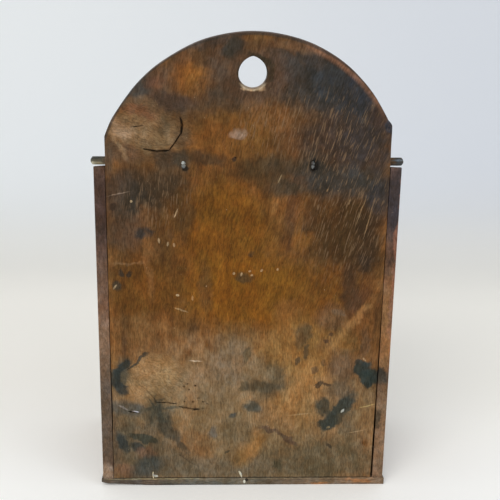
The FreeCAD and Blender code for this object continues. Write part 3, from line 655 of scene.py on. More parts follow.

# stains, and painted light: shade under the lid's back edge and inside the hole, light on the hole's lower
# lip, a sheen over the lower half and one small highlight
BACK_STAINS_AND_PAINTED_LIGHT = (
    # broad tones, from the arch down
    (0, 402, 100, 40, 0, 0.3, (73, 58, 45), 0.95),
    (52, 409, 18, 20, 0, 0.1, (112, 71, 31), 0.9),
    (49, 413, 9, 10, 0, 0.1, (140, 91, 40), 0.6),
    (98, 408, 24, 16, 42, 0.1, (88, 64, 46), 0.8),
    (98, 398, 16, 12, 40, 0.2, (57, 55, 50), 0.88),
    (85, 404, 8, 6, 0, 0.1, (104, 68, 46), 0.55),
    (69, 389, 20, 8, -6, 0.2, (68, 53, 44), 0.75),
    (16, 440, 9, 9, -20, 0.3, (45, 46, 42), 0.88),
    (14, 362, 42, 24, 0, 0.2, (109, 71, 30), 0.9),
    (51, 353, 9, 11, 0, 0.2, (126, 80, 34), 0.6),
    (-30, 376, 34, 14, -12, 0.2, (108, 72, 38), 0.85),
    (-36, 351, 18, 18, 0, 0.1, (90, 62, 36), 0.8),
    (94, 268, 38, 62, 0, 0.2, (86, 57, 28), 0.9),
    (20, 266, 46, 58, 0, 0.2, (108, 68, 18), 0.95),
    (-12, 204, 80, 38, 0, 0.2, (116, 73, 17), 0.9),
    (96, 206, 34, 34, 0, 0.2, (99, 62, 20), 0.85),
    (-92, 268, 33, 44, 0, 0.2, (62, 42, 20), 0.94),
    (-78, 204, 34, 24, 0, 0.2, (103, 66, 24), 0.85),
    # dark upper right, smoke over the shoulder
    (-56, 412, 40, 28, -20, 0.1, (54, 50, 46), 0.9),
    (-88, 356, 42, 32, 0, 0.2, (56, 45, 39), 0.95),
    (-110, 350, 24, 30, 0, 0.2, (46, 44, 44), 0.75),
    (-84, 402, 38, 22, -36, 0.3, (44, 46, 47), 0.92),
    (-43, 405, 11, 9, 0, 0.2, (56, 49, 43), 0.8),
    (-61, 426, 9, 7, -30, 0.3, (56, 50, 45), 0.8),
    (-97, 397, 21, 17, -42, 0.3, (44, 46, 50), 0.9),
    (-118, 376, 14, 10, -60, 0.2, (60, 48, 44), 0.7),
    # rim that hands have rubbed
    (36, 443, 18, 5, 14, 0.3, (70, 56, 46), 0.85),
    (-41, 438, 9, 5, -16, 0.1, (120, 87, 60), 0.7),
    (-24, 441, 12, 4, -12, 0.2, (108, 76, 48), 0.5),
    (-126, 366, 4, 6, 0, 0.5, (40, 44, 52), 0.9),
    # hole: painted shade on its upper inner wall, rubbed wear and painted light on its lower lip, where it
    # hung
    (-4, 412, 26, 27, 0, 0.3, (80, 58, 42), 0.6),
    (-8, 428, 12, 4, -20, 0.4, (44, 38, 26), 0.85),
    (-17, 419, 3, 9, 0, 0.4, (48, 40, 28), 0.8),
    (-2, 400.6, 10, 2.2, 0, 0.4, (168, 138, 104), 0.8),
    # knot at the left shoulder
    (92, 362, 38, 20, -8, 0.4, (119, 94, 65), 0.92),
    (113, 341, 21, 9, -10, 0.2, (94, 72, 53), 0.85),
    (96, 386, 18, 6.0, -8, 0.2, (100, 81, 60), 0.75),
    (99, 380, 18, 4.5, -8, 0.3, (104, 70, 48), 0.75),
    (116, 364, 13, 9, -20, 0.2, (142, 117, 90), 0.7),
    (75, 369, 6, 7, 0, 0.2, (82, 63, 41), 0.75),
    (74, 337, 13, 10, 0, 0.3, (62, 50, 38), 0.85),
    (59, 357, 6, 11, 10, 0.2, (74, 56, 38), 0.75),
    (118, 346, 15, 2.8, -59, 0.3, (152, 124, 92), 0.6),
    (128, 338, 5, 16, 0, 0.1, (80, 66, 52), 0.7),
    (10.6, 360.4, 5.6, 4.2, 0, 0.2, (154, 134, 118), 0.62),
    (11.5, 338.5, 2.2, 2.4, 0, 0.5, (44, 33, 27), 0.85),
    # shade under the lid's back edge, rust at the hinges
    (40, 339, 22, 6, -6, 0.2, (58, 44, 29), 0.8),
    (-14, 326, 30, 12, 0, 0.1, (60, 46, 28), 0.78),
    (-58, 330, 15, 14, 0, 0.1, (46, 42, 35), 0.88),
    (-34, 331, 20, 9, 0, 0.1, (60, 51, 37), 0.7),
    (60, 334, 7, 9, 0, 0.2, (62, 56, 46), 0.8),
    # left edge
    (112, 300, 24, 27, 0, 0.2, (68, 55, 44), 0.92),
    (99, 298, 16, 17, 0, 0.2, (50, 43, 35), 0.88),
    (75, 313, 20, 17, 0, 0.1, (62, 48, 34), 0.88),
    (93, 284, 8, 12, 0, 0.1, (104, 68, 36), 0.7),
    (112, 266, 20, 16, 0, 0.2, (78, 59, 43), 0.88),
    (127, 291, 2.6, 3, 0, 0.3, (46, 36, 29), 0.8),
    (95, 266, 9, 7, 24, 0.4, (42, 39, 36), 0.92),
    (86, 245, 8, 10, 0, 0.1, (112, 76, 42), 0.6),
    (59, 285, 8, 27, 0, 0.1, (70, 49, 25), 0.78),
    (91, 231, 3.5, 32, 3, 0.1, (126, 87, 48), 0.6),
    (109, 236, 20, 1.1, 0, 0.1, (132, 98, 64), 0.5),
    (118, 229, 3, 2.6, 0, 0.4, (48, 40, 31), 0.85),
    (110, 227, 3.5, 2.6, -30, 0.4, (46, 38, 30), 0.85),
    (123, 217, 3.2, 5, 0, 0.3, (56, 50, 40), 0.8),
    (1, 222, 8, 4.5, 0, 0.2, (74, 58, 36), 0.75),
    (-4, 245, 2, 2.4, 0, 0.3, (66, 46, 26), 0.8),
    (39, 213, 6, 24, 0, 0.1, (92, 62, 30), 0.75),
    (48, 150, 9, 15, 0, 0.2, (136, 104, 70), 0.75),
    # right-hand shade
    (-84, 316, 46, 15, -3, 0.1, (52, 50, 46), 0.95),
    (-34, 309, 18, 8, -6, 0.1, (54, 50, 40), 0.8),
    (-54, 257, 9, 10, 0, 0.1, (134, 88, 38), 0.6),
    (-122, 300, 12, 20, 0, 0.1, (48, 47, 48), 0.9),
    (-112, 256, 13, 34, 0, 0.1, (60, 42, 26), 0.85),
    (-111, 238, 5.5, 12, 0, 0.3, (47, 35, 26), 0.75),
    (-98, 209, 8, 28, 3, 0.2, (66, 45, 28), 0.88),
    (-40, 189, 15, 12, 0, 0.1, (140, 94, 46), 0.8),
    (68, 143, 8, 9, 0, 0.1, (106, 80, 55), 0.7),
    (-110, 196, 9, 16, -6, 0.1, (76, 52, 35), 0.8),
    (-88, 185, 6, 2.6, 0, 0.3, (124, 120, 108), 0.7),
    # paler, greyer lower half, partly a painted sheen of reflected light
    (10, 66, 158, 92, 0, 0.5, (134, 108, 75), 0.92),
    (-58, 146, 48, 34, 0, 0.3, (131, 95, 49), 0.85),
    (-49, 98, 24, 34, 0, 0.1, (146, 108, 62), 0.8),
    (100, 172, 30, 12, 0, 0.1, (118, 84, 48), 0.6),
    (-108, 182, 20, 4.6, 50, 0.3, (142, 103, 60), 0.82),
    (-88, 158, 18, 4.4, 53, 0.3, (140, 102, 58), 0.85),
    (-82, 180, 15, 15, 0, 0.2, (100, 72, 46), 0.85),
    (-114, 155, 4.6, 16, -4, 0.3, (90, 67, 45), 0.85),
    (-96, 130, 15, 18, 20, 0.2, (94, 75, 56), 0.85),
    (-77, 153, 8, 6, 50, 0.1, (112, 82, 50), 0.6),
    (32, 114, 30, 24, 0, 0.1, (134, 112, 84), 0.72),
    (16, 134, 24, 22, 0, 0.1, (116, 98, 76), 0.7),
    (-80, 28, 62, 23, 0, 0.3, (95, 81, 58), 0.9),
    (36, 20, 72, 14, 0, 0.1, (100, 88, 69), 0.75),
    (50, 46, 18, 16, 0, 0.2, (122, 88, 54), 0.75),
    (-7, 42, 21, 9, 54, 0.2, (144, 104, 57), 0.82),
    (2, 32, 10, 11, 0, 0.1, (122, 93, 54), 0.5),
    # left blots, pale burl between them
    (91, 125, 19, 19, 0, 0.4, (137, 108, 72), 0.92),
    (77, 126, 9, 14, 10, 0.5, (144, 114, 76), 0.85),
    (104, 107, 20, 7, -8, 0.4, (138, 110, 74), 0.8),
    (120, 122, 8, 18, 0, 0.2, (82, 76, 62), 0.85),
    (120, 131, 11, 5.5, 42, 0.5, (44, 50, 48), 0.92),
    (126, 119, 5.5, 11, 0, 0.5, (50, 55, 52), 0.92),
    (119, 109, 8, 5, -38, 0.5, (50, 54, 52), 0.9),
    (103, 136, 17, 1.9, 41, 0.5, (58, 55, 47), 0.9),
    (100, 46, 32, 38, 0, 0.2, (84, 76, 60), 0.8),
    (128, 52, 5, 48, 0, 0.2, (82, 70, 56), 0.7),
    (116, 87, 17, 9, -10, 0.3, (78, 76, 68), 0.85),
    (70, 28, 18, 18, 0, 0.1, (88, 78, 60), 0.7),
    (86, 81, 13, 14, 0, 0.2, (80, 75, 61), 0.8),
    (87, 86, 24, 2.0, 4, 0.3, (74, 69, 55), 0.75),
    (88, 84, 19, 1.8, 58, 0.3, (68, 64, 52), 0.75),
    (86, 84, 17, 1.8, -52, 0.3, (68, 64, 52), 0.75),
    (84, 82, 2.0, 19, 8, 0.3, (66, 62, 51), 0.75),
    (75, 66, 17, 7, -56, 0.3, (62, 60, 50), 0.85),
    (98, 53, 18, 4.6, -15, 0.6, (54, 55, 45), 0.93),
    (121, 47, 6, 11, 8, 0.5, (49, 53, 50), 0.92),
    (107, 43, 7, 6, 0, 0.5, (52, 54, 49), 0.9),
    (97, 38, 11, 6, 0, 0.2, (108, 80, 60), 0.75),
    (118, 18, 11, 8, 0, 0.2, (108, 78, 56), 0.75),
    (95, 23, 16, 12, 20, 0.3, (62, 64, 58), 0.86),
    (64, 48, 14, 2.6, -58, 0.3, (72, 66, 54), 0.75),
    (31, 60, 4.5, 6, 0, 0.3, (90, 84, 74), 0.75),
    (9, 78, 4.6, 4.6, 0, 0.5, (54, 59, 56), 0.9),
    (15, 38, 3, 1.8, 30, 0.5, (70, 60, 44), 0.8),
    # middle and right blots
    (-3, 143, 5, 6, 0, 0.4, OLIVE, 0.75),
    (-1, 109, 6.5, 5.5, 0, 0.4, OLIVE, 0.75),
    (9, 59, 16, 19, 0, 0.1, (103, 86, 61), 0.75),
    (-22, 118, 21, 21, 0, 0.3, (78, 70, 53), 0.8),
    (-15, 127, 14, 12, -20, 0.2, (126, 105, 76), 0.85),
    (-18, 109, 18, 6, 0, 0.3, (74, 66, 50), 0.75),
    (-9, 86, 8, 8, 0, 0.3, (68, 70, 62), 0.85),
    (-25, 63, 11, 2.6, -19, 0.4, VIOLET, 0.8),
    (-42, 54, 12, 2.6, -28, 0.4, VIOLET, 0.8),
    (-32, 24, 5, 6.5, 0, 0.3, (70, 64, 46), 0.75),
    (-55, 163, 8, 14, -4, 0.5, (90, 73, 49), 0.8),
    (-60, 143, 2.8, 8, 0, 0.5, (82, 66, 45), 0.8),
    (-51, 136, 3.4, 4, 0, 0.5, (74, 60, 42), 0.85),
    (-79, 155, 2.2, 2.2, 0, 0.5, (70, 52, 38), 0.85),
    (-83, 162, 2.0, 2.4, 0, 0.5, (76, 56, 40), 0.8),
    (-68, 127, 4.2, 3, 40, 0.5, (90, 68, 44), 0.8),
    (-76, 134, 3, 2.6, 30, 0.5, (92, 70, 46), 0.7),
    (-73, 112, 5, 1.5, 22, 0.6, (58, 46, 34), 0.85),
    (-81, 111.5, 5, 1.4, -20, 0.6, (62, 49, 36), 0.85),
    (-94, 105, 14, 9, 10, 0.2, (88, 76, 59), 0.82),
    (-116, 126, 10, 8, -12, 0.6, (42, 52, 50), 0.96),
    (-127, 122, 8, 7, -25, 0.6, (41, 52, 50), 0.96),
    (-120, 118, 6, 7, -14, 0.6, (42, 52, 49), 0.95),
    (-111, 133, 5, 3, -30, 0.5, (50, 50, 44), 0.9),
    # painted highlight
    (-116, 137, 1.4, 2.4, 20, 0.3, LIGHT, 0.45),
    (-78, 87, 9, 9, 0, 0.5, (60, 60, 50), 0.9),
    (-93, 82, 25, 8.5, 52, 0.5, (46, 54, 50), 0.95),
    (-84, 71, 11, 8, 30, 0.5, (50, 55, 49), 0.92),
    (-105, 67, 13, 17, 0, 0.2, (90, 78, 58), 0.8),
    (-88, 90, 2.6, 6, -30, 0.3, (108, 88, 60), 0.7),
    (-82, 66, 1.4, 1.4, 0, 0.5, (150, 134, 100), 0.6),
    (-121, 77, 12, 15, 0, 0.2, (132, 105, 71), 0.8),
    (-86, 43, 3, 3, 0, 0.4, (56, 49, 38), 0.85),
)

# Scratches, flecks and dark lines, and painted light: highlights on the exposed nails, on the wood and at a
# crack's edge, shade in the hole round the -X hinge tail and a shadow under the +X one
BACK_SCRATCHES_AND_PAINTED_LIGHT = (
    (0, 8.4, 150, 0.9, 0, 0.3, (40, 36, 30), 0.8),
    # painted highlights on the exposed nail shanks, over bare metal, the next three rows
    (90.6, 11.5, 0.8, 3.8, 3, 0.5, (226, 216, 178), 0.95),
    (87.8, 10.6, 2.2, 1.3, -4, 0.5, (186, 190, 178), 0.85),
    (3, 12.5, 0.9, 3.8, 22, 0.5, (214, 206, 176), 0.95),
    # painted shade in the hole round the -X hinge tail
    (-60.2, 331.2, 4.4, 6.4, 0, 0.4, (8, 9, 10), 0.98),
    # painted shadow under the +X hinge tail
    (57.4, 327.8, 3.2, 2.2, 14, 0.4, (20, 17, 14), 0.92),
    (119, 304, 10, 0.6, 12, 0.3, (146, 128, 112), 0.5),
    # painted highlights, the next six rows
    (107, 297, 1.2, 1.2, 0, 0.6, LIGHT, 0.75),
    (66, 286, 4.6, 0.6, 66, 0.5, (190, 164, 128), 0.8),
    (82, 259, 0.9, 2.6, 6, 0.5, LIGHT, 0.6),
    (74, 256, 0.9, 2.4, -10, 0.5, LIGHT, 0.55),
    (68, 255, 1.0, 2.0, 0, 0.5, LIGHT, 0.5),
    (65, 205, 1.6, 1.3, 0, 0.6, LIGHT, 0.8),
    (124, 213, 3, 0.8, 50, 0.5, (170, 144, 110), 0.7),
    # painted highlight
    (51, 202, 0.9, 2.4, 0, 0.5, (172, 132, 84), 0.7),
    (62, 190, 6.5, 0.8, -18, 0.4, (166, 130, 88), 0.65),
    (12, 227, 1.3, 1.4, 0, 0.6, LIGHT, 0.75),
    (5, 226, 1.0, 1.8, -20, 0.6, LIGHT, 0.65),
    (-3, 229, 1.4, 1.1, 10, 0.6, LIGHT, 0.6),
    (-5, 225, 1.2, 1.0, 0, 0.6, LIGHT, 0.6),
    (-14, 230, 1.0, 1.4, -30, 0.6, LIGHT, 0.6),
    (-29, 231, 1.0, 1.2, 0, 0.6, LIGHT, 0.5),
    (-29, 319, 0.6, 4, -22, 0.4, (150, 126, 92), 0.6),
    (-73, 308, 0.7, 1.6, -20, 0.5, (160, 132, 96), 0.6),
    (-105, 288, 14, 0.55, 73, 0.3, (160, 128, 90), 0.7),
    (-112, 276, 15, 0.55, 78, 0.3, (156, 124, 88), 0.65),
    (-94, 297, 0.6, 2.6, -16, 0.4, (158, 130, 92), 0.6),
    (48, 137, 6, 0.7, -4, 0.4, (198, 180, 154), 0.75),
    (119, 87, 5, 1.0, -30, 0.4, (150, 142, 134), 0.6),
    # painted highlight on the crack's edge
    (107.4, 82.6, 3.6, 0.7, -8, 0.5, (206, 196, 196), 0.8),
    (-54, 79, 10, 0.9, 6, 0.3, (174, 146, 104), 0.65),
    (-121, 88, 8, 0.6, 15, 0.3, (184, 160, 106), 0.7),
    (-112, 60, 8, 0.6, 12, 0.3, (160, 136, 102), 0.6),
    # painted highlight
    (-97, 83, 1.0, 2.6, -35, 0.5, (176, 182, 176), 0.85),
)

BACK_KNOTS = (
    (92, 364, 46, 30, -8, -13),
    (88, 118, 34, 26, 0, -30),
)

BACK_STRANDS = (
    (-92, 286, 44, 62),
    (-56, 366, 66, 32),
    (84, 300, 30, 28),
)

SIDE_STAINS_AND_PAINTED_LIGHT = (
    (136, 290, 14, 60, 0, 0.1, (60, 48, 46), 0.88),
    (136, 180, 14, 64, 0, 0.1, (120, 92, 73), 0.8),
    (136, 150, 14, 30, 0, 0.1, (146, 122, 100), 0.8),
    (136, 72, 14, 60, 0, 0.1, (99, 89, 76), 0.9),
    # painted highlight at the foot of the +X side's rear edge
    (137, 12, 7, 11, 0, 0.2, (178, 158, 136), 0.75),
    (-136, 298, 14, 40, 0, 0.3, (38, 45, 54), 0.95),
    (-136, 168, 14, 46, 0, 0.1, (157, 112, 68), 0.92),
    (-134, 122, 8, 8, 0, 0.6, (44, 54, 51), 0.95),
    (-136, 50, 14, 56, 0, 0.1, (142, 116, 88), 0.84),
    (-133, 72, 3.4, 10, 0, 0.4, (70, 66, 52), 0.8),
    (-140, 250, 2.5, 110, 0, 0.2, (160, 112, 92), 0.5),
)

BASE_STAINS_AND_PAINTED_LIGHT = (
    (112, 4, 50, 12, 0, 0.1, (92, 82, 73), 0.88),
    (20, 4, 50, 12, 0, 0.1, (116, 108, 92), 0.85),
    (-100, 4, 70, 12, 0, 0.1, (126, 104, 82), 0.85),
    # painted highlights low on the rear face towards -X, the next two rows
    (-78, 3, 8, 2, 0, 0.4, (172, 118, 70), 0.7),
    (-116, 3, 14, 1.8, 0, 0.4, (168, 118, 76), 0.7),
    (50, 2, 40, 2.2, 0, 0.2, (92, 90, 82), 0.6),
)

BASE_MARKS_AND_PAINTED_LIGHT = (
    # painted highlights along the top rear arris, the next two rows
    (90, 7.3, 52, 0.5, 0.2, 0.3, (164, 152, 116), 0.7),
    (-60, 7.2, 70, 0.4, -0.2, 0.2, (150, 132, 98), 0.5),
    # painted shade along the bottom edge
    (70, 0.6, 74, 0.7, 0, 0.3, (48, 44, 46), 0.7),
    # painted highlight on a nail, then a dark nail hole
    (-1, 4, 1.0, 2.2, 0, 0.5, (206, 206, 190), 0.9),
    (-3.4, 6, 1.6, 1.8, 0, 0.5, (26, 26, 26), 0.9),
)

LID_STAINS = (
    (144, 332, 9, 40, 0, 0.3, (98, 98, 86), 0.8),
    (-144, 332, 9, 40, 0, 0.3, (50, 58, 62), 0.85),
)

LID_PAINTED_LIGHT = (
    # painted reflection of the floor on the lower half of the +X end, and painted shade on its upper half
    (144, 329.6, 12, 1.6, 0, 0.3, (188, 180, 152), 0.85),
    (144, 335, 12, 1.8, 0, 0.3, (54, 58, 58), 0.8),
    # painted highlights on the -X end
    (-144, 333.4, 12, 0.7, 0, 0.3, (104, 116, 122), 0.65),
    (-144, 330, 12, 0.6, 0, 0.3, (92, 104, 110), 0.5),
)

# bare iron with a painted highlight: x, z, radius, strength
HINGE_BARE_AND_HIGHLIGHT_SPOTS = ((60.0, 333.8, 1.7, 0.7), (58.6, 331.4, 2.6, 0.25), (-58.8, 330.4, 1.3, 0.2),
               (-59.8, 333.2, 0.8, 0.16))
NAIL_BARE_AND_HIGHLIGHT_SPOTS = ((90, 9, 4, 0.85), (2.5, 9, 4, 0.8))

# Cracks take a path, width and depth, pits x, z, radius and depth, and dishes x, z, half length, half
# width, angle and depth.
BACK_RELIEF = (
    Crack([(61.4, 374.6), (60, 368), (61, 359.6)], 2.5, 3.0),
    Crack([(61.4, 360.4), (66.8, 351.6), (71.4, 345.6)], 1.5, 2.2),
    Crack([(72.0, 345.0), (83, 343.8), (95, 346.2)], 2.1, 2.8),
    Crack([(105, 366.2), (95.5, 367.4)], 1.0, 1.4),
    Crack([(101, 375), (88, 371), (76, 368.4), (68, 365)], 0.45, 0.6),
    Crack([(112, 356), (98, 353.6), (84, 350)], 0.4, 0.5),
    Crack([(114, 83), (106, 81.4)], 1.6, 2.4),
    Crack([(85.6, 92.6), (76, 92.2), (66.6, 90.8)], 1.3, 2.0),
    Crack([(63.8, 87.8), (52, 84.9), (44.6, 85)], 2.2, 3.0),
    Crack([(66.4, 36), (60, 31), (53, 25.6), (45.6, 21)], 0.7, 1.4),
    Crack([(104, 113), (96, 106), (88, 96), (86, 88)], 0.7, 1.0),
    Pit(55.9, 112.4, 0.95, 3.4), Pit(59.3, 109.4, 0.95, 3.4), Pit(48.3, 110.3, 1.1, 3.8),
    Pit(54.4, 106.2, 0.9, 3.4), Pit(61.4, 115.2, 0.5, 2.0), Pit(45.8, 97, 0.8, 3.0),
    Pit(59, 93.2, 0.95, 3.4), Pit(50.6, 92.8, 1.0, 3.5), Pit(40.8, 93, 0.95, 3.4), Pit(36.8, 91, 0.7, 3.0),
    Pit(40.8, 85.6, 0.75, 2.6), Pit(11.5, 338.5, 0.7, 1.8), Pit(-59.5, 327.6, 1.4, 2.4),
    Dish(59, 331.7, 8.5, 4.5, 90, 0.9), Dish(-59, 331.7, 8.5, 4.5, 90, 0.9),
    Dish(90.5, 11.5, 7, 2.4, 92, 1.5), Dish(1.6, 12, 9, 2.4, 76, 1.5),
    Dish(96, 265, 7, 5, 0, 0.5), Dish(8, 358, 6, 4, 0, 0.35), Dish(-127, 366, 5, 4, 60, 1.6),
    Dish(9, 78, 5, 4, 0, 0.6), Dish(-9, 86, 6, 4, 60, 0.5), Dish(-88, 80, 18, 8, 50, 0.4),
    Dish(117, 346, 15, 3, 121, 0.5), Dish(126, 345, 3, 12, 0, 0.6),
)

# bands inside the arch and round the hole, in millimetres from their radii
ARCH_EDGE, ARCH_RUBBED, HOLE_LIP = (-3.6, -1.8), (-8.5, -3.6), (0.5, 2.6)
WIDE_CRACK = 0.9


def back_rims(f, tone):
    """The arch's dark rounded edge, and the hole's lip: painted shade on its upper inner wall, rubbed wear
    and painted light on its lower lip, where it hung.
    """
    edge, height = f.ring(ARCH_X, ARCH_Z, ARCH_RADIUS, ARCH_EDGE)
    rubbed, _ = f.ring(ARCH_X, ARCH_Z, ARCH_RADIUS, ARCH_RUBBED)
    rubbed = f.times(rubbed, f.patch(f.place, -86, 418, 46, 20, -43, 0.2, 0.5))
    tone = f.mix(rubbed, tone, colour(150, 106, 78))
    tone = f.mix(f.times(edge, f.remap(height, 18.0, 24.0), 0.7), tone, colour(54, 50, 47))
    around, height = f.ring(HOLE_X, HOLE_Z, HOLE_RADIUS, HOLE_LIP)
    lip = f.math("SUBTRACT", 1.0, around)
    # painted shade on the hole's upper inner wall
    tone = f.mix(f.times(lip, f.remap(height, -9.0, 4.0), 0.85), tone, colour(48, 42, 30))
    # rubbed wear and painted light on the hole's lower lip
    return f.mix(f.times(lip, f.remap(height, -6.0, -11.0), 0.9), tone, colour(186, 166, 138))


def crack_shade_marks():
    """Painted shade along the bottoms of the backboard's wide cracks, as rows like the stains'."""
    rows = []
    for mark in BACK_RELIEF:
        if isinstance(mark, Crack) and mark.width > WIDE_CRACK:
            for (x1, z1), (x2, z2), length in zip(mark.path, mark.path[1:], mark.lengths):
                turn = math.degrees(math.atan2(z2 - z1, x1 - x2))
                rows.append(((x1 + x2) / 2, (z1 + z2) / 2, length / 2 + 0.5, mark.width * 0.42, turn, 0.5,
                             (27, 23, 20), 0.9))
    return tuple(rows)


back_wood = wood("back_wood", "z", ((80, 53, 30), (106, 71, 36), (132, 92, 50)), BACK_STAINS_AND_PAINTED_LIGHT,
                 BACK_SCRATCHES_AND_PAINTED_LIGHT + crack_shade_marks(), BACK_KNOTS, BACK_STRANDS, back_rims, lean=True)
side_wood = wood("side_wood", "y", ((72, 52, 42), (108, 78, 56), (138, 104, 74)), SIDE_STAINS_AND_PAINTED_LIGHT, depth=40.0)
front_wood = wood("front_wood", "x", ((86, 58, 37), (106, 72, 42), (130, 91, 54)))
base_wood = wood("base_wood", "x", ((66, 54, 44), (92, 78, 62), (124, 104, 80)), BASE_STAINS_AND_PAINTED_LIGHT, BASE_MARKS_AND_PAINTED_LIGHT)
lid_wood = wood("lid_wood", "x", ((70, 55, 41), (92, 73, 54), (122, 98, 72)), LID_STAINS, LID_PAINTED_LIGHT,
                y=10.0, depth=150.0, edge=LID_Y + LID_REAR)
hinge_iron = iron("hinge_iron", ((40, 39, 40), (70, 58, 49), (190, 194, 188)), 0.35, HINGE_BARE_AND_HIGHLIGHT_SPOTS)
nail_iron = iron("nail_iron", ((50, 46, 44), (88, 68, 54), (196, 192, 184)), 0.6, NAIL_BARE_AND_HIGHLIGHT_SPOTS)

# ---- boards, in millimetres -------------------------------------------------------------------

CLEAR = 0.1             # what keeps the backboard off the base and the sides
ABOVE_SIDES = 3.0       # how far above the sides' top the backboard is back at its full width
JOINT_GAP_TOP, JOINT_GAP_LEFT, JOINT_GAP_RIGHT = 0.36, 0.85, 2.0
LEFT_GAP_Z, LEFT_GAP_SPREAD, RIGHT_GAP_TOP = 92.0, 34.0, 215.0
SHOULDER_LEFT, SHOULDER_RIGHT, SHOULDER_IN = 2.6, 6.0, 0.6
# how far the arch is worn in, by the angle from the right-hand end as seen from behind
ARCH_WEAR = ((0, 3.0), (22, 3.0), (32, 2.6), (40, 2.0), (50, 1.0), (58, 0.7), (68, 0.35), (92, 0.35),
             (108, 0.8), (120, 1.6), (142, 1.6), (150, 1.1), (155, 0.2), (180, 0.1))
# where the base's worn foot begins, how much is gone at its corner, and its rim's radius
FOOT_X, FOOT_Y, FOOT_WEAR, FOOT_RIM = 94.0, 53.0, 2.8, 3.4
# radii of rims
JOINT_RIM, DOVETAIL_RIM, PIN_RIM, BARE_RIM, INNER_TOP_RIM = 0.3, 0.28, 0.25, 1.3, 0.7
BASE_RIM_BELOW, BASE_RIM_ABOVE, BASE_REAR_RIM = 4.2, 1.9, 1.0
LID_RIM, LID_REAR_RIM, NOTCH_RIM = 3.7, 1.1, 0.35
PIN_ROOT, BEVEL_RUN = 1.0, 12.0       # how far pins reach into their plank, and its top is bent
# hammered tails: depths between which the hammering sets in, how they close up, length, and depth
STRUCK_FROM, STRUCK_TO = 2.6, 1.4
TAIL_SHIFT, TAIL_SQUEEZE, TAIL_LENGTH, TAIL_SUNK = 1.2, 0.85, 3.4, 0.2


def shrink_left(z):
    """Gap that the backboard's left edge has left by shrinking, widest above the base."""
    share = math.exp(-((z - LEFT_GAP_Z) / LEFT_GAP_SPREAD) ** 2)
    return blend(share, JOINT_GAP_TOP, JOINT_GAP_LEFT)


def shrink_right(z):
    """The right edge's gap, which opens downwards."""
    return blend(ramp(z, RIGHT_GAP_TOP, BASE_TOP) ** 1.3, JOINT_GAP_TOP, JOINT_GAP_RIGHT)


def worn(spot):
    """A point of the arch moved in by its wear."""
    away = np.array(spot) - (ARCH_X, ARCH_Z)
    reach = np.linalg.norm(away)
    seen = 180 - math.degrees(math.atan2(away[1], away[0]))
    return tuple((ARCH_X, ARCH_Z) + away * (reach - np.interp(seen, *zip(*ARCH_WEAR))) / reach)


def backboard_ring():
    """Outline in X and Z: left edge, arch, right edge."""
    start, end = (math.degrees(math.acos((x - ARCH_X) / ARCH_RADIUS)) for x in (INNER_HALF, -INNER_HALF))
    crown = [worn(spot) for spot in arc((ARCH_X, ARCH_Z), ARCH_RADIUS, start, end, 90)]
    heights = np.linspace(BASE_TOP + CLEAR, SIDE_TOP_REAR, 60)
    left = [(INNER_HALF - shrink_left(z), z) for z in heights]
    left += [(INNER_HALF - CLEAR, SIDE_TOP_REAR + ABOVE_SIDES)]
    right = [(-INNER_HALF + shrink_right(z), z) for z in heights[::-1]]
    right = [(-INNER_HALF + CLEAR, SIDE_TOP_REAR + ABOVE_SIDES)] + right
    points = left + crown[:-1] + [(-INNER_HALF + SHOULDER_IN, crown[-1][1])] + right
    points = rounded(points, len(left) + len(crown) - 1, SHOULDER_RIGHT)
    return rounded(points, len(left), SHOULDER_LEFT)


def hole_ring():
    """Bored hole that its nail has worn upward into an egg."""
    flank = WORN_FLANK - HOLE_RADIUS
    turn = math.degrees(math.atan2(TIP_RISE, flank))
    return (arc((HOLE_X, HOLE_Z), HOLE_RADIUS, 180, 360, 24)
            + arc((HOLE_X - flank, HOLE_Z), WORN_FLANK, 0, turn, 10)[1:]
            + arc((HOLE_X, HOLE_Z + TIP_RISE), WORN_TIP, turn, 180 - turn, 8)[1:]
            + arc((HOLE_X + flank, HOLE_Z), WORN_FLANK, 180 - turn, 180, 10)[1:-1])


def back_rim(points):
    """Rear rim: well rubbed round the arch, crisp in the joints, soft round the hole."""
    x, z = points.T
    rubbed = 1.3 + 0.8 * ripple(points, 31, 60)
    soft = 0.9 + 1.4 * ramp(z, HOLE_Z, HOLE_Z - HOLE_RADIUS)
    at_hole = np.hypot(x - HOLE_X, z - HOLE_Z) < 2 * HOLE_RADIUS
    return blend(ramp(z, SIDE_TOP_REAR + 8, SIDE_TOP_REAR), np.where(at_hole, soft, rubbed), JOINT_RIM)


def make_board(name, material, *measures, **settings):
    """A piece that is a single slab; measures and settings are slab's own."""
    shape = Shape()
    slab(shape, *measures, **settings)
    return shape.build(name, material)


def make_backboard():
    rings = [dense(backboard_ring(), 3.0), dense(hole_ring(), 2.0)]
    faces = (Face(8.0, 0.2, 5, wavelength=70), Face(3.4, 0.3, 3, wavelength=62, marks=BACK_RELIEF))
    return make_board("aged_backboard", back_wood, rings, BACK_FRONT, REAR, upright, (0.8, back_rim), faces,
                      uneven=0.2, seed=7)


def pin_ring(middle):
    """A whole dovetail pin in Y and Z, from its lower outside corner."""
    return [(FRONT, middle - PIN_HALF), (FRONT_INNER, middle - PIN_HALF - FLARE),
            (FRONT_INNER, middle + PIN_HALF + FLARE), (FRONT, middle + PIN_HALF)]


def side_ring():
    """Side board in Y and Z, with the sockets for the front board's pins."""
    pins_top = side_top(FRONT)
    ring = [(FRONT_INNER, BASE_TOP), (REAR, BASE_TOP), (REAR, SIDE_TOP_REAR),
            (FRONT_INNER, side_top(FRONT_INNER)), (FRONT_INNER, pins_top - END_PIN - FLARE),
            (FRONT, pins_top - END_PIN)]
    for middle in PIN_MIDDLES[::-1]:
        ring += pin_ring(middle)[::-1]
    return ring + [(FRONT, BASE_TOP + END_PIN), (FRONT_INNER, BASE_TOP + END_PIN + FLARE)]


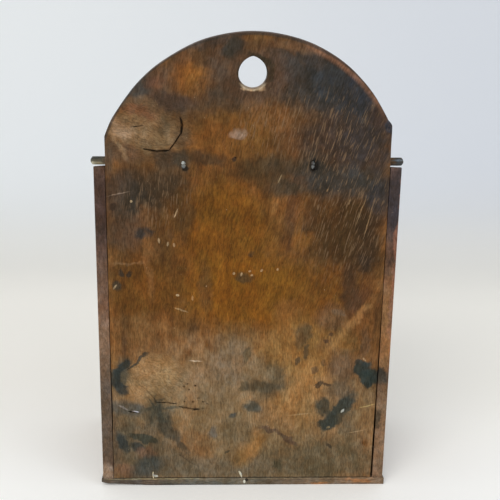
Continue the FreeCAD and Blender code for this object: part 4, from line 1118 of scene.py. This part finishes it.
def make_side(name, sign):
    """sign is -1 for the left board and +1 for the right one."""
    def outer_rim(points):
        y, z = points.T
        bare = np.maximum(ramp(z - side_top(y), -7, -3), ramp(y, REAR - 5, REAR - 1))
        at_front = ramp(y, FRONT_INNER + 6, FRONT_INNER + 2)
        return blend(at_front, blend(bare, JOINT_RIM, BARE_RIM), DOVETAIL_RIM)

    def inner_rim(points):
        y, z = points.T
        return np.where(z > side_top(y) - 5, INNER_TOP_RIM, JOINT_RIM)

    low, high = sorted((sign * INNER_HALF, sign * HALF_WIDTH))
    rims = (inner_rim, outer_rim) if sign > 0 else (outer_rim, inner_rim)
    return make_board(name, side_wood, [dense(side_ring(), 3.5)], low, high, sideways, rims,
                      (Face(7.0, 0.22, 11), Face(7.0, 0.22, 12)), uneven=0.08, seed=21)


def make_front_board():
    """Plank, bevelled to the lid's slope at its top, with its dovetail pins."""
    pins_top = side_top(FRONT)
    top = pins_top + LID_SEAT

    def bevelled(u, v, w):
        lift = ramp(v, top - BEVEL_RUN, top) * (w - FRONT) * math.tan(LID_SLOPE)
        return np.column_stack([u, w, v + lift])

    shape = Shape()
    plank = [(-INNER_HALF, BASE_TOP), (INNER_HALF, BASE_TOP), (INNER_HALF, top), (-INNER_HALF, top)]
    slab(shape, [dense(plank, 4.0)], FRONT, FRONT_INNER, bevelled, (0.4, 0.6),
         (Face(6.0, 0.25, 15), Face(9.0, 0.2, 16)), uneven=0.05, seed=23)
    pins = [pin_ring(middle) for middle in PIN_MIDDLES]
    pins.append([(FRONT, BASE_TOP), (FRONT_INNER, BASE_TOP), (FRONT_INNER, BASE_TOP + END_PIN + FLARE),
                 (FRONT, BASE_TOP + END_PIN)])
    pins.append([(FRONT, pins_top - END_PIN), (FRONT_INNER, pins_top - END_PIN - FLARE),
                 (FRONT_INNER, top + (FRONT_INNER - FRONT) * math.tan(LID_SLOPE)), (FRONT, top)])
    for number, pin in enumerate(pins):
        ends = (Face(2.4, 0.15, 31 + number, wavelength=12),) * 2
        for sign in (-1, 1):
            low, high = sorted((sign * (INNER_HALF - PIN_ROOT), sign * HALF_WIDTH))
            slab(shape, [dense(pin, 2.0)], low, high, sideways, (PIN_RIM, PIN_RIM), ends, uneven=0.04,
                 seed=41 + number)
    return shape.build("aged_front_board", front_wood)


def make_base_board():
    ring = [(-BASE_HALF, BASE_FRONT), (BASE_HALF, BASE_FRONT), (BASE_HALF, REAR), (-BASE_HALF, REAR)]
    ring = rounded(rounded(ring, 1, BASE_CORNER), 0, BASE_CORNER)

    def rim(radius, at_corner):
        """Well rounded at three sides, crisper at the rear, with a rounding of its own at +X there."""
        def at(points):
            x, y = points.T
            free = radius + 0.3 * ripple(points, 51, 40) - 0.15
            rear = blend(ramp(x, BASE_HALF - 6, BASE_HALF - 1), BASE_REAR_RIM, at_corner)
            return blend(ramp(y, REAR - 4, REAR - 1), free, rear)
        return at

    def on_worn_foot(u, v, w):
        """The underside rises towards the rear corner at +X, clear of the nails beside it."""
        share = ramp(u, FOOT_X, BASE_HALF) * ramp(v, FOOT_Y, REAR)
        return np.column_stack([u, v, w + FOOT_WEAR * share * (1 - w / BASE_TOP)])

    return make_board("aged_base_board", base_wood, [dense(ring, 3.0)], 0.0, BASE_TOP, on_worn_foot,
                      (rim(BASE_RIM_BELOW, FOOT_RIM), rim(BASE_RIM_ABOVE, BASE_REAR_RIM)),
                      (Face(9.0, 0.0, 17), Face(8.0, 0.05, 18)), uneven=0.2, seed=25)


def make_lid():
    """Lid in its own frame: X along the hinge axis, the front at -Y, with a notch at each hinge."""
    ring = [(-LID_HALF, -LID_FRONT), (LID_HALF, -LID_FRONT), (LID_HALF, LID_REAR)]
    for centre in (HINGE_X, -HINGE_X):
        ring += [(centre + NOTCH_HALF, LID_REAR), (centre + NOTCH_HALF, -NOTCH_END),
                 (centre - NOTCH_HALF, -NOTCH_END), (centre - NOTCH_HALF, LID_REAR)]
    ring += [(-LID_HALF, LID_REAR)]
    for corner in (len(ring) - 1, 2, 1, 0):
        ring = rounded(ring, corner, LID_REAR_CORNER if corner > 1 else LID_CORNER)

    def rim(points):
        across, along = np.abs(points[:, 0]), points[:, 1]
        notch = (np.abs(across - HINGE_X) < NOTCH_HALF + 1) & (along > -NOTCH_END - 1)
        end = ramp(across, LID_HALF - 3, LID_HALF - 1)
        back = ramp(along, LID_REAR - 3, LID_REAR - 1) * (1 - end)
        return np.where(notch, NOTCH_RIM, blend(back, LID_RIM, LID_REAR_RIM))

    return make_board("aged_lid", lid_wood, [dense(ring, 3.0)], -LID_HALF_THICK, LID_HALF_THICK, on_lid,
                      (rim, rim), (Face(9.0, 0.1, 19), Face(6.0, 0.12, 20)), uneven=0.2, seed=27, steps=6)


def make_back_pin(node, flat):
    """Hinge pin with its two clenched tails hammered out flat and close together."""
    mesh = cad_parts[node].data.copy()
    spots = np.array([v.co for v in mesh.vertices]) / MM
    centre = math.copysign(HINGE_X, spots[:, 0].mean())
    struck = ramp(spots[:, 1], REAR - STRUCK_FROM, REAR - STRUCK_TO)
    above = spots[:, 2] - LID_Z
    joined = np.maximum(np.abs(above) - TAIL_SHIFT, 0.02) * TAIL_SQUEEZE
    wider = 1 + flat * struck * np.clip(1.2 - (joined / TAIL_LENGTH) ** 2, 0, 1)
    spots[:, 0] = centre + (spots[:, 0] - centre) * wider
    spots[:, 1] = np.minimum(spots[:, 1], REAR - TAIL_SUNK)
    spots[:, 2] = LID_Z + np.sign(above) * blend(struck, np.abs(above), joined)
    mesh.vertices.foreach_set("co", (spots * MM).ravel())
    coat(mesh, hinge_iron)
    return add_object("aged_" + node, mesh)


for piece, body, node, finish in (
    (make_backboard(), "box", "backboard", "back_wood"),
    (make_side("aged_side_left", -1), "box", "side_left", "side_wood"),
    (make_side("aged_side_right", 1), "box", "side_right", "side_wood"),
    (make_front_board(), "box", "front_board", "front_wood"),
    (make_base_board(), "box", "base_board", "base_wood"),
    (make_lid(), "lid", "lid", "lid_wood"),
    (make_back_pin("hinge_left_back_pin", 0.7), "box", "hinge_left_back_pin", "hinge_iron"),
    (make_back_pin("hinge_right_back_pin", 1.2), "box", "hinge_right_back_pin", "hinge_iron"),
):
    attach(piece, body)
    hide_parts(node)

for node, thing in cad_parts.items():
    if node.startswith("hinge"):
        coat(thing.data, hinge_iron)
    elif "nails" in node:
        coat(thing.data, nail_iron)

# ---- floor, lamps and camera, in metres except for the sweep ----------------------------------

FLOOR_NEAR, FLOOR_FAR, FLOOR_HALF = 7000.0, -900.0, 5000.0
BEND, BEND_STEPS, WALL_TOP = 700.0, 16, 2600.0
FLOOR_LIFT, LIFT_TINT = 0.085, (1.0, 0.99, 0.97, 1)
WORLD_TINT, WORLD_STRENGTH = (0.95, 0.98, 1.0, 1), 0.68
KEY_POWER, FILL_POWER, LAMP_TARGET = 18.2, 5.0, (0, 0.07, 0.22)
CAMERA_PLACE = (0.04184, 1.00002, 0.55825)
CAMERA_TURN, CAMERA_TILT, CAMERA_ROLL = 1.868, 18.436, 0.684
CAMERA_LENS, CAMERA_SENSOR, CAMERA_SHIFT = 75.08, 36.0, 0.0311


def make_backdrop():
    """Seamless pale sweep: floor, curve and wall. Camera rays see its far floor a little lighter."""
    profile = [(FLOOR_NEAR, 0.0)]
    for k in range(BEND_STEPS + 1):
        turn = math.pi / 2 * k / BEND_STEPS
        profile.append((FLOOR_FAR - BEND * math.sin(turn), BEND * (1 - math.cos(turn))))
    profile.append((FLOOR_FAR - BEND, WALL_TOP))
    shape = Shape()
    shape.add([(x, y, z) for y, z in profile for x in (-FLOOR_HALF, FLOOR_HALF)],
              [(2 * k, 2 * k + 1, 2 * k + 3, 2 * k + 2) for k in range(len(profile) - 1)])
    f = Finish("backdrop_paper")
    parts = f.split(f.warp(f.place, 5.0, 0.1))
    # painted light: the paper is lighter towards +X, warmer from the bend onto the floor, and lightest on the
    # floor on the camera's side
    paper_and_painted_light = f.mix(f.remap(parts["X"], -0.7, 0.6), colour(233, 236, 242), colour(248, 250, 251))
    paper_and_painted_light = f.mix(f.remap(parts["Y"], -1.2, -0.4), paper_and_painted_light, colour(243, 239, 231))
    paper_and_painted_light = f.mix(f.remap(parts["Y"], -0.2, 0.16), paper_and_painted_light, colour(253, 252, 249))
    rays = f.add("LightPath").outputs
    seen = f.math("MAXIMUM", f.math("MAXIMUM", rays["Is Camera Ray"], rays["Is Glossy Ray"]),
                  rays["Is Transmission Ray"])
    lift = f.times(f.remap(parts["Y"], -0.62, -0.4, 0.0, FLOOR_LIFT), seen)
    f.set(Base_Color=paper_and_painted_light, Roughness=0.9, Specular_IOR_Level=0.1, Emission_Color=LIFT_TINT,
          Emission_Strength=lift)
    return shape.build("backdrop", f.material)


def add_lamp(name, place, size, power, tint):
    lamp = bpy.data.lights.new(name, "AREA")
    lamp.shape, lamp.size, lamp.energy, lamp.color = "DISK", size, power, tint
    thing = add_object(name, lamp)
    thing.location = place
    thing.rotation_euler = (Vector(LAMP_TARGET) - Vector(place)).to_track_quat("-Z", "Y").to_euler()


make_backdrop()
add_lamp("key", (0.8, 1.65, 1.75), 1.5, KEY_POWER, (1.0, 0.97, 0.93))
add_lamp("fill", (-1.4, 1.3, 0.9), 1.0, FILL_POWER, (0.93, 0.96, 1.0))

world = bpy.data.worlds.new("studio")
world.use_nodes = True
background = world.node_tree.nodes["Background"].inputs
background["Color"].default_value = WORLD_TINT
background["Strength"].default_value = WORLD_STRENGTH
bpy.context.scene.world = world

camera_data = bpy.data.cameras.new("camera")
camera_data.lens, camera_data.sensor_width, camera_data.shift_x = CAMERA_LENS, CAMERA_SENSOR, CAMERA_SHIFT
camera_data.clip_start, camera_data.clip_end = 0.05, 20.0
camera = add_object("camera", camera_data)
camera.matrix_world = (Matrix.Translation(CAMERA_PLACE)
                       @ Matrix.Rotation(math.radians(180 - CAMERA_TURN), 4, "Z")
                       @ Matrix.Rotation(math.radians(90 - CAMERA_TILT), 4, "X")
                       @ Matrix.Rotation(math.radians(CAMERA_ROLL), 4, "Z"))
bpy.context.scene.camera = camera
bpy.context.scene.view_settings.view_transform = "Standard"
